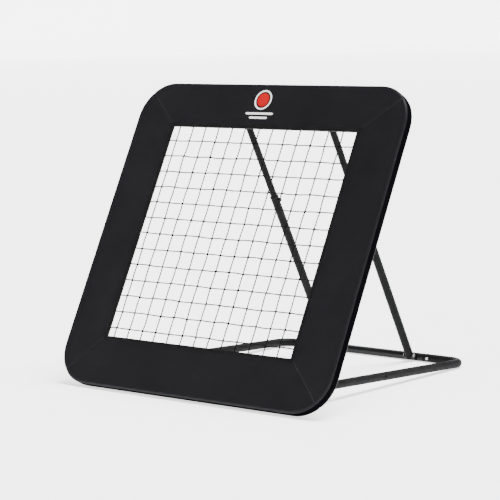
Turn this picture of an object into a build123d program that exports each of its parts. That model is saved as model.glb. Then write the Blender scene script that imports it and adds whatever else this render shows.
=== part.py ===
"""Ball rebounder: a padded square net frame that leans back on a folding tube stand.

Units are millimetres and degrees. X runs across the net, Y from the front to the rear rail and
Z up from the floor. The origin is on the floor, in the middle of the footprint.
"""
from build123d import *
import os
from math import cos, radians, sin

# ---------------------------------------------------------------------- overall sizes
WIDTH = 1280.0  # over the cover
DEPTH = 1180.0  # front of the cover to the back of the rear rail
PANEL_HEIGHT = 1237.0  # over the cover, measured up the leaning panel
PANEL_LEAN = 27.5  # how far the panel leans back from upright

# ---------------------------------------------------------------------- padded cover
SIDE_BORDER = 198.0
BOTTOM_BORDER = 192.0
TOP_BORDER = 182.0
CORNER_RADIUS = 145.0
EDGE_ROUND = 8.0
PAD_THICKNESS = 8.5
BAND_THICKNESS = 6.0
LIP_THICKNESS = 2.5
LIP_WIDTH = 50.0
COVER_GAP = 0.5  # between the cover and the tubes inside it
STRAP_WIDTH = 25.0
STRAP_THICKNESS = 2.0
STRAP_REACH = 27.0  # from the lip's edge to where the strap is sewn to the pad
STRAP_CELLS_ACROSS = (-5.0, -1.0, 1.0, 5.0)  # places along top and bottom, in net cells
STRAP_CELLS_UP = (-5.0, -1.5, 1.5, 5.0)  # places along the sides, in net cells

# ---------------------------------------------------------------------- tubes
TUBE_RADIUS = 16.0
TUBE_WALL = 1.5
SPIGOT_GAP = 0.1  # between a swaged end and the bore that it plugs into
SPIGOT_LENGTH = 30.0
SHOULDER = 3.0  # solid step where a tube narrows into its swaged end
FRAME_TAIL = 140.0  # straight run of a frame corner past its bend
SCREW_SETBACK = 15.0  # from a tube seam to its screw
SCREW_RADIUS = 2.5
SCREW_LENGTH = 9.0
SCREW_HEAD_RADIUS = 5.0
SCREW_HEAD_HEIGHT = 3.0
SCREW_PLAY = 0.1

# ---------------------------------------------------------------------- net and bungees
MESH_WIDTH = 65.6
MESH_HEIGHT = 64.1
STRAND = 3.0
BORDER_RADIUS = 3.0
BORDER_CORNER = 30.0
LEAST_BUNGEE = 40.0  # smallest space between the net and the frame tube
BUNGEE_RADIUS = 2.5
BUNGEE_PLAY = 0.5
EYE_RADIUS = 5.5  # centre line of a hook's eye
HOOK_RADIUS = 1.5
EYE_DISTANCE = 10.0  # eye's centre from the frame tube
HOOK_STEM_RADIUS = 2.0
HOOK_BAR_LENGTH = 12.0
HOOK_BAR_DEPTH = 6.0  # crossbar's depth inside the tube
HOOK_PLAY = 0.5

# ---------------------------------------------------------------------- stand
ARM_SPREAD = 885.0  # between the centre lines of the two side arms
ARM_SEAM = 550.0  # from the front hinge to the seam in a side arm
REAR_BEND_RADIUS = 70.0
RAIL_LENGTH = 502.0  # straight middle tube of the rear rail
BASE_SPIGOT_LENGTH = 55.0
BASE_SCREW_SETBACK = 24.0
BASE_SCREW_RADIUS = 3.0
BASE_SCREW_LENGTH = 12.0
BASE_SCREW_HEAD_RADIUS = 6.0
BASE_SCREW_HEAD_HEIGHT = 4.0

# ---------------------------------------------------------------------- pivots
PIVOT_RADIUS = 4.0
PIVOT_PLAY = 0.08  # radial running clearance of a pivot bolt
HEAD_RADIUS = 7.0
HEAD_HEIGHT = 4.5
NUT_WIDTH = 13.0
NUT_HEIGHT = 5.0
THREAD_SHOW = 1.0  # bolt past its nut
EAR_THICKNESS = 3.0
EAR_GAP = 1.0  # on each side, between an ear and what turns between the ears
EAR_RADIUS = 12.0
EAR_FOOT_WIDTH = 26.0  # along the tube's section where an ear is welded on
WEB_THICKNESS = 3.0
WEB_WIDTH = 18.0
WEB_SHIFT = 3.0  # web's centre past the tube's, up the panel
HINGE_RISE = 51.5  # front hinge above the centre of the bottom frame tube, up the panel
HINGE_BACK = 2.0  # front hinge behind that centre
ARM_OVERHANG = 10.0  # side arm past its hinge
TOP_PIVOT_DROP = 23.0  # strut pivot below the centre of the top frame tube
TOP_PIVOT_BACK = 31.4  # strut pivot behind that centre
FOOT_SPACING = 2.0  # tube radii from the rear rail's centre forward to the strut foot
FOOT_RISE = 10.0  # strut foot above the rear rail's centre
NOTCH_GAP = 6.0  # between a bracket and the slit in the cover's lip

# ---------------------------------------------------------------------- struts
STRUT_SPREAD = 403.5  # between the centre lines of the two struts
UPPER_RADIUS = 13.0
UPPER_LENGTH = 700.0
LOWER_REACH = 716.0  # foot pivot to the lower tube's mouth
FOOT_OVERHANG = 7.0
PLUG_THICKNESS = 2.0
SLIDE_GAP = 0.3  # around the sliding upper tube
BUSH_SLEEVE = 30.0
BUSH_FLANGE = 5.0
BUSH_RIM = 1.5  # flange past the lower tube
GLIDE_LENGTH = 12.0
GLIDE_SHANK = 20.0
EYE_THICKNESS = 8.0
EYE_WIDTH = 22.0
EYE_REACH = 24.0  # top pivot to the upper tube's end
EYE_SHANK = 40.0
SLOT_PLAY_ALONG = 2.6  # top pivot's freedom along the strut, each way
SLOT_PLAY_ACROSS = 0.8
LEVELS_BELOW = 2  # height settings below the one that it stands at
LEVELS_ABOVE = 6
LEVEL_LEAN = 1.8  # change of lean from one setting to the next
INDEX_HOLE_RADIUS = 4.0
LOCK_DROP = 10.0  # lock knob below the lower tube's mouth
LOCK_STUD_RADIUS = 3.0
LOCK_TIP_GAP = 0.5
BOSS_RADIUS = 6.5
BOSS_HEIGHT = 3.0
KNOB_RADIUS = 8.0
KNOB_LENGTH = 7.0
KNOB_GAP = 0.5
KNOB_FLUTES = 8
KNOB_FLUTE_RADIUS = 1.6

# ---------------------------------------------------------------------- what follows
LEAN = radians(PANEL_LEAN)
BORE_RADIUS = TUBE_RADIUS - TUBE_WALL
PANEL_THICKNESS = PAD_THICKNESS + LIP_THICKNESS + 2 * (TUBE_RADIUS + COVER_GAP)
FRAME_INSET = BAND_THICKNESS + COVER_GAP + TUBE_RADIUS  # cover's edge to a tube's centre
FRAME_DEPTH = PAD_THICKNESS + COVER_GAP + TUBE_RADIUS  # cover's face to a tube's centre
FRAME_BEND = CORNER_RADIUS - FRAME_INSET
FRAME_HALF_WIDTH = WIDTH / 2 - FRAME_INSET
FRAME_HALF_HEIGHT = PANEL_HEIGHT / 2 - FRAME_INSET
NET_COLUMNS = int((2 * (FRAME_HALF_WIDTH - TUBE_RADIUS - LEAST_BUNGEE)) // MESH_WIDTH)
NET_ROWS = int((2 * (FRAME_HALF_HEIGHT - TUBE_RADIUS - LEAST_BUNGEE)) // MESH_HEIGHT)
NET_HALF_WIDTH = NET_COLUMNS * MESH_WIDTH / 2
NET_HALF_HEIGHT = NET_ROWS * MESH_HEIGHT / 2
RAIL_Y = DEPTH / 2 - TUBE_RADIUS
RAIL_Z = TUBE_RADIUS
SIDES = {"left": -1, "right": 1}

# The panel's own frame: X across, "up" along its face and "back" into its thickness. Its
# rounded lower edges touch the floor and the front of the footprint.
PANEL_UP = Vector(0, sin(LEAN), cos(LEAN))
PANEL_BACK = Vector(0, cos(LEAN), -sin(LEAN))
PANEL_CORNER = Vector(
    0,
    EDGE_ROUND - EDGE_ROUND * (sin(LEAN) + cos(LEAN)) - DEPTH / 2,
    EDGE_ROUND + (PANEL_THICKNESS - EDGE_ROUND) * sin(LEAN) - EDGE_ROUND * cos(LEAN),
)


def panel_point(across, up, back):
    """A point of the leaning panel, from its lower front edge."""
    return PANEL_CORNER + Vector(across, 0, 0) + PANEL_UP * up + PANEL_BACK * back


def panel_plane(back):
    """The plane parallel to the panel's face, centred on the panel, facing forwards."""
    return Plane(origin=panel_point(0, PANEL_HEIGHT / 2, back), x_dir=(1, 0, 0), z_dir=-PANEL_BACK)


def panel_section(across):
    """The upright plane across the panel: local x runs up the panel and local y back."""
    return Plane(origin=panel_point(across, 0, 0), x_dir=PANEL_UP, z_dir=(-1, 0, 0))


HINGE = panel_point(0, FRAME_INSET + HINGE_RISE, FRAME_DEPTH + HINGE_BACK)
TOP_PIVOT_UP = PANEL_HEIGHT - FRAME_INSET - TOP_PIVOT_DROP
TOP_PIVOT_IN = FRAME_DEPTH + TOP_PIVOT_BACK
TOP_PIVOT = panel_point(0, TOP_PIVOT_UP, TOP_PIVOT_IN)
FOOT = Vector(0, RAIL_Y - FOOT_SPACING * TUBE_RADIUS, RAIL_Z + FOOT_RISE)
ARM_DIRECTION = (HINGE - Vector(0, RAIL_Y, RAIL_Z)).normalized()
ARM_LENGTH = (HINGE - Vector(0, RAIL_Y, RAIL_Z)).length
STRUT_DIRECTION = (TOP_PIVOT - FOOT).normalized()
STRUT_LENGTH = (TOP_PIVOT - FOOT).length


def strut_point(across, reach):
    """A point on a strut's centre line, by its distance from the foot pivot."""
    return FOOT + Vector(across, 0, 0) + STRUT_DIRECTION * reach


def slide_at(lean_change):
    """How far a strut is pulled out when the panel is turned upright by some degrees."""
    turned = (TOP_PIVOT - HINGE).rotate(Axis.X, lean_change)
    return (HINGE + turned - FOOT).length - STRUT_LENGTH


def side_plane(across):
    """The upright plane across the stand: local x runs rearwards and local y up."""
    return Plane(origin=(across, 0, 0), x_dir=(0, 1, 0), z_dir=(1, 0, 0))


# ---------------------------------------------------------------------- shared operations
def cut_hole(centre, direction, radius, depth):
    """Cut a round hole into the sub-part that is being built."""
    with BuildSketch(Plane(origin=centre, z_dir=direction)) as hole:
        Circle(radius)
    extrude(hole.sketch, amount=depth, mode=Mode.SUBTRACT)


def add_rod(centre, direction, radius, length):
    """Add a round rod to the sub-part that is being built."""
    with BuildSketch(Plane(origin=centre, z_dir=direction)) as section:
        Circle(radius)
    extrude(section.sketch, amount=length)


def straight_tube(start, end, radius, spigot_start=0.0, spigot_end=0.0):
    """A tube from shoulder to shoulder, with a swaged spigot past either end."""
    direction = (end - start).normalized()
    length = (end - start).length
    bore = radius - TUBE_WALL
    spigot = bore - SPIGOT_GAP
    bore_start = SHOULDER if spigot_start else 0
    bore_end = SHOULDER if spigot_end else 0
    whole = spigot_start + length + spigot_end
    with BuildPart() as tube:
        add_rod(start, direction, radius, length)
        if spigot_start or spigot_end:
            add_rod(start - direction * spigot_start, direction, spigot, whole)
        cut_hole(start - direction * spigot_start, direction, spigot - TUBE_WALL, whole)
        cut_hole(start + direction * bore_start, direction, bore, length - bore_start - bore_end)
    return tube


def bent_tube(plane, points, bend_radius):
    """A round tube along straight runs in one plane, joined by a bend."""
    with BuildPart() as tube:
        with BuildLine(plane) as route:
            FilletPolyline(*points, radius=bend_radius)
        line = route.wires()[0]
        with BuildSketch(Plane(origin=line @ 0, z_dir=line % 0)):
            Circle(TUBE_RADIUS)
            Circle(BORE_RADIUS, mode=Mode.SUBTRACT)
        sweep(path=line)
    return tube


def pin_through(centre, outward, half_grip, radius):
    """A dome-headed bolt through a bracket, its head on the outward side."""
    tail = half_grip + NUT_HEIGHT + THREAD_SHOW
    with BuildPart() as bolt:
        add_rod(centre - outward * tail, outward, radius, tail + half_grip)
        with BuildSketch(Plane(origin=centre + outward * half_grip, z_dir=outward)) as head:
            Circle(HEAD_RADIUS)
        extrude(head.sketch, amount=HEAD_HEIGHT)
        fillet(bolt.edges().sort_by(Axis(centre, outward))[-1], radius=HEAD_HEIGHT / 2)
    return bolt


def lock_nut(centre, outward, half_grip, radius):
    """The hexagon nut on the inner end of a pivot bolt."""
    with BuildPart() as nut:
        with BuildSketch(Plane(origin=centre - outward * half_grip, z_dir=-outward)) as section:
            RegularPolygon(NUT_WIDTH / 2, 6, major_radius=False)
            Circle(radius, mode=Mode.SUBTRACT)
        extrude(section.sketch, amount=NUT_HEIGHT)
    return nut


def joint_screw(surface, outward, radius, length, head_radius, head_height):
    """A self-tapping screw that holds a tube seam together."""
    with BuildPart() as screw:
        add_rod(surface - outward * length, outward, radius, length)
        add_rod(surface, outward, head_radius, head_height)
        fillet(screw.edges().sort_by(Axis(surface, outward))[-1], radius=head_height / 3)
    return screw


def save(part, name):
    """Label a finished sub-part and write it to its own file."""
    part.label = name
    export_step(part, f"parts/{name}.step")


def save_group(parts, name):
    """Write several separate solids as one node."""
    save(Compound(children=[piece.part for piece in parts]), name)


# ---------------------------------------------------------------------- the panel's frame
def frame_screw_places():
    """Each screw of the frame's seams, as its point on the tube and its outward direction."""
    seam_across = FRAME_HALF_WIDTH - FRAME_BEND - FRAME_TAIL + SCREW_SETBACK
    seam_up = FRAME_HALF_HEIGHT - FRAME_BEND - FRAME_TAIL + SCREW_SETBACK
    middle = PANEL_HEIGHT / 2
    places = []
    inner_up = FRAME_HALF_HEIGHT - TUBE_RADIUS
    inner_across = FRAME_HALF_WIDTH - TUBE_RADIUS
    for across in (-1, 1):
        for up in (-1, 1):
            on_rail = panel_point(across * seam_across, middle + up * inner_up, FRAME_DEPTH)
            places.append((on_rail, PANEL_UP * -up))
            on_post = panel_point(across * inner_across, middle + up * seam_up, FRAME_DEPTH)
            places.append((on_post, Vector(-across, 0, 0)))
    return places


def hook_offsets(cells, pitch, half_run):
    """Where bungees sit along one side: in every other net cell, from the middle out."""
    offset = 0.0 if cells % 2 else pitch / 2
    offsets = []
    while offset < half_run:
        offsets.append(offset)
        if offset > 0:
            offsets.append(-offset)
        offset += 2 * pitch
    return offsets


def hook_places():
    """Each bungee: the point on the tube, the direction to the net and the space between."""
    middle = PANEL_HEIGHT / 2
    reach_up = FRAME_HALF_HEIGHT - TUBE_RADIUS
    reach_across = FRAME_HALF_WIDTH - TUBE_RADIUS
    places = []
    for across in hook_offsets(NET_COLUMNS, MESH_WIDTH, reach_across - FRAME_BEND):
        for up in (-1, 1):
            point = panel_point(across, middle + up * reach_up, FRAME_DEPTH)
            places.append((point, PANEL_UP * -up, reach_up - NET_HALF_HEIGHT))
    for up in hook_offsets(NET_ROWS, MESH_HEIGHT, reach_up - FRAME_BEND):
        for across in (-1, 1):
            point = panel_point(across * reach_across, middle + up, FRAME_DEPTH)
            places.append((point, Vector(-across, 0, 0), reach_across - NET_HALF_WIDTH))
    return places


def make_frame():
    """The four bent corners and four straight tubes, drilled for hooks and screws."""
    middle = PANEL_HEIGHT / 2
    seam_across = FRAME_HALF_WIDTH - FRAME_BEND - FRAME_TAIL
    seam_up = FRAME_HALF_HEIGHT - FRAME_BEND - FRAME_TAIL
    tubes = {}
    for across_name, across in SIDES.items():
        for up_name, up in {"bottom": -1, "top": 1}.items():
            points = [
                (across * seam_across, up * FRAME_HALF_HEIGHT),
                (across * FRAME_HALF_WIDTH, up * FRAME_HALF_HEIGHT),
                (across * FRAME_HALF_WIDTH, up * seam_up),
            ]
            name = f"frame_corner_{up_name}_{across_name}"
            tubes[name] = bent_tube(panel_plane(FRAME_DEPTH), points, FRAME_BEND)
    for name, up in {"bottom": -1, "top": 1}.items():
        start = panel_point(-seam_across, middle + up * FRAME_HALF_HEIGHT, FRAME_DEPTH)
        end = panel_point(seam_across, middle + up * FRAME_HALF_HEIGHT, FRAME_DEPTH)
        tubes[f"frame_tube_{name}"] = straight_tube(start, end, TUBE_RADIUS, SPIGOT_LENGTH, SPIGOT_LENGTH)
    for name, across in SIDES.items():
        start = panel_point(across * FRAME_HALF_WIDTH, middle - seam_up, FRAME_DEPTH)
        end = panel_point(across * FRAME_HALF_WIDTH, middle + seam_up, FRAME_DEPTH)
        tubes[f"frame_tube_{name}"] = straight_tube(start, end, TUBE_RADIUS, SPIGOT_LENGTH, SPIGOT_LENGTH)
    holes = [(point, inward, HOOK_STEM_RADIUS + HOOK_PLAY) for point, inward, gap in hook_places()]
    holes += [(point, inward, SCREW_RADIUS + SCREW_PLAY) for point, inward in frame_screw_places()]
    for name, tube in tubes.items():
        reach = tube.part.bounding_box().diagonal / 2
        centre = tube.part.bounding_box().center()
        with BuildPart() as drilled:
            add(tube.part)
            for point, inward, radius in holes:
                if (point - centre).length < reach:
                    cut_hole(point + inward, -inward, radius, 2 * TUBE_WALL + SHOULDER)
        save(drilled.part, name)


def make_frame_screws():
    """The screws through the frame's eight seams."""
    screws = []
    for point, inward in frame_screw_places():
        screw = joint_screw(point, inward, SCREW_RADIUS, SCREW_LENGTH, SCREW_HEAD_RADIUS, SCREW_HEAD_HEIGHT)
        screws.append(screw)
    save_group(screws, "frame_joint_screws")


# ---------------------------------------------------------------------- the padded cover
def make_cover():
    """A padded channel round the frame, sewn from four mitred sections."""
    cavity_width = WIDTH - 2 * BAND_THICKNESS
    cavity_height = PANEL_HEIGHT - 2 * BAND_THICKNESS
    lip_depth = PANEL_THICKNESS - LIP_THICKNESS
    window_height = PANEL_HEIGHT - BOTTOM_BORDER - TOP_BORDER
    window_up = (BOTTOM_BORDER - TOP_BORDER) / 2
    notch_width = EYE_THICKNESS + 2 * (EAR_GAP + EAR_THICKNESS + NOTCH_GAP)
    with BuildPart() as ring:
        with BuildSketch(panel_plane(PANEL_THICKNESS)):
            RectangleRounded(WIDTH, PANEL_HEIGHT, CORNER_RADIUS)
        extrude(amount=PANEL_THICKNESS)
        through = Axis(panel_point(0, 0, 0), PANEL_BACK)
        rims = ring.edges().group_by(through)
        fillet(rims[0] + rims[-1], radius=EDGE_ROUND)
        with BuildSketch(panel_plane(lip_depth)):
            RectangleRounded(cavity_width, cavity_height, CORNER_RADIUS - BAND_THICKNESS)
        extrude(amount=lip_depth - PAD_THICKNESS, mode=Mode.SUBTRACT)
        with BuildSketch(panel_plane(PANEL_THICKNESS)):
            RectangleRounded(WIDTH - 2 * LIP_WIDTH, PANEL_HEIGHT - 2 * LIP_WIDTH, CORNER_RADIUS - LIP_WIDTH)
            for side in SIDES.values():
                with Locations((side * STRUT_SPREAD / 2, PANEL_HEIGHT / 2 - BAND_THICKNESS)):
                    Rectangle(notch_width, LIP_WIDTH, align=(Align.CENTER, Align.MAX))
        extrude(amount=LIP_THICKNESS, mode=Mode.SUBTRACT)
        with BuildSketch(panel_plane(PAD_THICKNESS)):
            with Locations((0, window_up)):
                Rectangle(WIDTH - 2 * SIDE_BORDER, window_height)
        extrude(amount=PAD_THICKNESS, mode=Mode.SUBTRACT)
    outer = {(x, y): (x * WIDTH / 2, y * PANEL_HEIGHT / 2) for x in (-1, 1) for y in (-1, 1)}
    inner = {
        (x, y): (x * (WIDTH / 2 - SIDE_BORDER), window_up + y * window_height / 2)
        for x in (-1, 1)
        for y in (-1, 1)
    }
    corners = {
        "top": ((-1, 1), (1, 1)),
        "bottom": ((-1, -1), (1, -1)),
        "left": ((-1, -1), (-1, 1)),
        "right": ((1, -1), (1, 1)),
    }
    for name, (first, second) in corners.items():
        with BuildPart() as section:
            add(ring.part)
            with BuildSketch(panel_plane(PANEL_THICKNESS)) as outline:
                with BuildLine():
                    Polyline(outer[first], outer[second], inner[second], inner[first], close=True)
                make_face()
            extrude(amount=PANEL_THICKNESS, mode=Mode.INTERSECT)
        save(section.part, f"cover_{name}")


def make_strap(section, start, side):
    """One strap, from the lip's edge down to the back of the pad."""
    landing = start - side * STRAP_REACH
    with BuildPart() as strap:
        with BuildSketch(section):
            with BuildLine():
                Polyline(
                    (start, PANEL_THICKNESS),
                    (start, PANEL_THICKNESS - LIP_THICKNESS),
                    (landing + side * STRAP_THICKNESS, PAD_THICKNESS),
                    (landing, PAD_THICKNESS),
                    close=True,
                )
            make_face()
        extrude(amount=STRAP_WIDTH / 2, both=True)
    return strap


def make_cover_straps():
    """Webbing straps that hold the cover's lip to the back of its pad."""
    straps = []
    for side in (-1, 1):
        for cells in STRAP_CELLS_ACROSS:
            start = LIP_WIDTH if side < 0 else PANEL_HEIGHT - LIP_WIDTH
            straps.append(make_strap(panel_section(cells * MESH_WIDTH), start, side))
        for cells in STRAP_CELLS_UP:
            origin = panel_point(0, PANEL_HEIGHT / 2 + cells * MESH_HEIGHT, 0)
            section = Plane(origin=origin, x_dir=(1, 0, 0), z_dir=PANEL_UP)
            straps.append(make_strap(section, side * (WIDTH / 2 - LIP_WIDTH), side))
    save_group(straps, "cover_straps")


# ---------------------------------------------------------------------- the net
def make_net():
    """The knotted mesh inside its border cord."""
    with BuildPart() as net:
        with BuildSketch(panel_plane(FRAME_DEPTH)):
            for column in range(1, NET_COLUMNS):
                with Locations((column * MESH_WIDTH - NET_HALF_WIDTH, 0)):
                    Rectangle(STRAND, 2 * (NET_HALF_HEIGHT - BORDER_RADIUS))
            for row in range(1, NET_ROWS):
                with Locations((0, row * MESH_HEIGHT - NET_HALF_HEIGHT)):
                    Rectangle(2 * (NET_HALF_WIDTH - BORDER_RADIUS), STRAND)
        extrude(amount=STRAND / 2, both=True)
    save(net.part, "net")
    with BuildPart() as border:
        with BuildSketch(panel_plane(FRAME_DEPTH)) as outline:
            RectangleRounded(2 * NET_HALF_WIDTH, 2 * NET_HALF_HEIGHT, BORDER_CORNER)
        path = outline.sketch.faces()[0].outer_wire()
        with BuildSketch(Plane(origin=path @ 0, z_dir=path % 0)) as section:
            Circle(BORDER_RADIUS)
        sweep(section.sketch, path=path)
    save(border.part, "net_border_cord")


def make_bungees():
    """Elastic loops round the border cord, each held by a hook in a frame tube's hole."""
    loops = []
    hooks = []
    half_height = BORDER_RADIUS + BUNGEE_RADIUS + BUNGEE_PLAY
    for point, inward, gap in hook_places():
        along = inward.cross(PANEL_BACK).normalized()
        eye = point + inward * EYE_DISTANCE
        middle = eye + inward * ((gap - EYE_DISTANCE + half_height) / 2)
        run = gap - EYE_DISTANCE - half_height
        with BuildPart() as loop:
            with BuildSketch(Plane(origin=middle, x_dir=inward, z_dir=along)) as outline:
                SlotCenterToCenter(run, 2 * half_height)
            path = outline.sketch.faces()[0].outer_wire()
            with BuildSketch(Plane(origin=path @ 0, z_dir=path % 0)) as section:
                Circle(BUNGEE_RADIUS)
            sweep(section.sketch, path=path)
        loops.append(loop)
        with BuildPart() as hook:
            with BuildSketch(Plane(origin=eye, x_dir=inward, z_dir=along)) as ring:
                with Locations((EYE_RADIUS, 0)):
                    Circle(HOOK_RADIUS)
            revolve(ring.sketch, axis=Axis(eye, PANEL_BACK))
            stem = EYE_DISTANCE - EYE_RADIUS + HOOK_BAR_DEPTH
            add_rod(point - inward * HOOK_BAR_DEPTH, inward, HOOK_STEM_RADIUS, stem)
            bar_start = point - inward * HOOK_BAR_DEPTH - along * (HOOK_BAR_LENGTH / 2)
            add_rod(bar_start, along, HOOK_RADIUS, HOOK_BAR_LENGTH)
        hooks.append(hook)
    save_group(loops, "bungee_loops")
    save_group(hooks, "bungee_hooks")


# ---------------------------------------------------------------------- brackets and pivots
def make_hinge_bracket(name, side):
    """Two welded ears on the bottom frame tube that carry a side arm's end."""
    across = side * ARM_SPREAD / 2
    tube_centre = (FRAME_INSET, FRAME_DEPTH)
    pivot = (FRAME_INSET + HINGE_RISE, FRAME_DEPTH + HINGE_BACK)
    inner = TUBE_RADIUS + EAR_GAP
    with BuildPart() as bracket:
        for ear_side in (-1, 1):
            start = across + ear_side * (inner + EAR_THICKNESS / 2)
            with BuildSketch(panel_section(start)):
                with Locations(pivot):
                    Circle(EAR_RADIUS)
                with Locations((tube_centre[0] + TUBE_RADIUS / 2, tube_centre[1])):
                    Rectangle(TUBE_RADIUS, EAR_FOOT_WIDTH)
                make_hull()
                with Locations(tube_centre):
                    Circle(TUBE_RADIUS, mode=Mode.SUBTRACT)
                with Locations(pivot):
                    Circle(PIVOT_RADIUS + PIVOT_PLAY, mode=Mode.SUBTRACT)
            extrude(amount=EAR_THICKNESS / 2, both=True)
    save(bracket.part, name)


def make_top_bracket(name, side):
    """A welded clevis on the back of the top frame tube that carries a strut's eye."""
    across = side * STRUT_SPREAD / 2
    tube_centre = (PANEL_HEIGHT - FRAME_INSET, FRAME_DEPTH)
    pivot = (TOP_PIVOT_UP, TOP_PIVOT_IN)
    inner = EYE_THICKNESS / 2 + EAR_GAP
    with BuildPart() as bracket:
        for ear_side in (-1, 1):
            start = across + ear_side * (inner + EAR_THICKNESS / 2)
            with BuildSketch(panel_section(start)):
                with Locations(pivot):
                    Circle(EAR_RADIUS)
                with Locations((tube_centre[0], tube_centre[1] + TUBE_RADIUS / 2)):
                    Rectangle(EAR_FOOT_WIDTH, TUBE_RADIUS)
                make_hull()
                with Locations(tube_centre):
                    Circle(TUBE_RADIUS, mode=Mode.SUBTRACT)
                with Locations(pivot):
                    Circle(PIVOT_RADIUS + PIVOT_PLAY, mode=Mode.SUBTRACT)
            extrude(amount=EAR_THICKNESS / 2, both=True)
        with BuildSketch(panel_section(across)):
            with Locations((tube_centre[0] + WEB_SHIFT, tube_centre[1] + TUBE_RADIUS)):
                Rectangle(WEB_WIDTH, 2 * WEB_THICKNESS)
            with Locations(tube_centre):
                Circle(TUBE_RADIUS, mode=Mode.SUBTRACT)
        extrude(amount=inner, both=True)
    save(bracket.part, name)


def make_rail_bracket(name, side):
    """Two welded ears on the front of the rear rail that carry a strut's foot."""
    across = side * STRUT_SPREAD / 2
    pivot = (FOOT.Y, FOOT.Z)
    inner = TUBE_RADIUS + EAR_GAP
    with BuildPart() as bracket:
        for ear_side in (-1, 1):
            start = across + ear_side * (inner + EAR_THICKNESS / 2)
            with BuildSketch(side_plane(start)):
                with Locations(pivot):
                    Circle(EAR_RADIUS)
                with Locations((RAIL_Y - TUBE_RADIUS / 2, RAIL_Z)):
                    Rectangle(TUBE_RADIUS, EAR_FOOT_WIDTH)
                make_hull()
                with Locations((RAIL_Y, RAIL_Z)):
                    Circle(TUBE_RADIUS, mode=Mode.SUBTRACT)
                with Locations(pivot):
                    Circle(PIVOT_RADIUS + PIVOT_PLAY, mode=Mode.SUBTRACT)
            extrude(amount=EAR_THICKNESS / 2, both=True)
    save(bracket.part, name)


def make_pivots():
    """The bolts and lock nuts of the three pairs of pivots."""
    wide_grip = TUBE_RADIUS + EAR_GAP + EAR_THICKNESS
    narrow_grip = EYE_THICKNESS / 2 + EAR_GAP + EAR_THICKNESS
    pivots = {
        "hinge": (HINGE, ARM_SPREAD / 2, wide_grip),
        "top_pivot": (TOP_PIVOT, STRUT_SPREAD / 2, narrow_grip),
        "foot_pivot": (FOOT, STRUT_SPREAD / 2, wide_grip),
    }
    for name, (centre, across, grip) in pivots.items():
        bolts = []
        nuts = []
        for side in SIDES.values():
            outward = Vector(side, 0, 0)
            place = centre + outward * across
            bolts.append(pin_through(place, outward, grip, PIVOT_RADIUS))
            nuts.append(lock_nut(place, outward, grip, PIVOT_RADIUS))
        save_group(bolts, f"{name}_bolts")
        save_group(nuts, f"{name}_nuts")


# ---------------------------------------------------------------------- the stand
def base_screw(surface, outward):
    """A screw through the wall of the base's outer tube and the spigot inside it."""
    return joint_screw(surface, outward, BASE_SCREW_RADIUS, BASE_SCREW_LENGTH, BASE_SCREW_HEAD_RADIUS,
                       BASE_SCREW_HEAD_HEIGHT)


def drilled(tube, places):
    """A base tube with a clearance hole for each of its screws."""
    with BuildPart() as result:
        add(tube.part)
        for surface, outward in places:
            cut_hole(surface + outward, -outward, BASE_SCREW_RADIUS + SCREW_PLAY, 3 * TUBE_WALL)
    return result


def make_base():
    """A U of tubes on the floor: rear rail, two bent corners and two side arms."""
    rail_start = Vector(-RAIL_LENGTH / 2, RAIL_Y, RAIL_Z)
    rail_end = Vector(RAIL_LENGTH / 2, RAIL_Y, RAIL_Z)
    rail = straight_tube(rail_start, rail_end, TUBE_RADIUS, BASE_SPIGOT_LENGTH, BASE_SPIGOT_LENGTH)
    forward = Vector(0, -1, 0)
    screw_across = RAIL_LENGTH / 2 + BASE_SCREW_SETBACK
    rail_screws = {
        name: (Vector(side * screw_across, RAIL_Y - TUBE_RADIUS, RAIL_Z), forward)
        for name, side in SIDES.items()
    }
    save(drilled(rail, rail_screws.values()).part, "rear_rail")
    save_group([base_screw(*place) for place in rail_screws.values()], "rail_joint_screws")
    square = Vector(1, 0, 0).cross(ARM_DIRECTION)
    base_plane = Plane(origin=(0, RAIL_Y, RAIL_Z), x_dir=(1, 0, 0), z_dir=square)
    arm_screws = []
    for name, side in SIDES.items():
        across = side * ARM_SPREAD / 2
        outward = Vector(side, 0, 0)
        seam = HINGE + Vector(across, 0, 0) - ARM_DIRECTION * ARM_SEAM
        points = [(side * RAIL_LENGTH / 2, 0), (across, 0), (across, ARM_LENGTH - ARM_SEAM)]
        corner = bent_tube(base_plane, points, REAR_BEND_RADIUS)
        arm_screw = (seam - ARM_DIRECTION * BASE_SCREW_SETBACK + outward * TUBE_RADIUS, outward)
        save(drilled(corner, [arm_screw, rail_screws[name]]).part, f"rear_corner_{name}")
        tip = HINGE + Vector(across, 0, 0) + ARM_DIRECTION * ARM_OVERHANG
        tube = drilled(straight_tube(seam, tip, TUBE_RADIUS, BASE_SPIGOT_LENGTH), [arm_screw])
        with BuildPart() as side_arm:
            add(tube.part)
            hinge_end = HINGE + Vector(across - 2 * TUBE_RADIUS, 0, 0)
            cut_hole(hinge_end, Vector(1, 0, 0), PIVOT_RADIUS + PIVOT_PLAY, 4 * TUBE_RADIUS)
        save(side_arm.part, f"side_arm_{name}")
        with BuildPart() as plug:
            add_rod(tip - ARM_DIRECTION * PLUG_THICKNESS, ARM_DIRECTION, BORE_RADIUS, PLUG_THICKNESS)
        save(plug.part, f"arm_plug_{name}")
        arm_screws.append(base_screw(*arm_screw))
    save_group(arm_screws, "arm_joint_screws")


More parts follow.
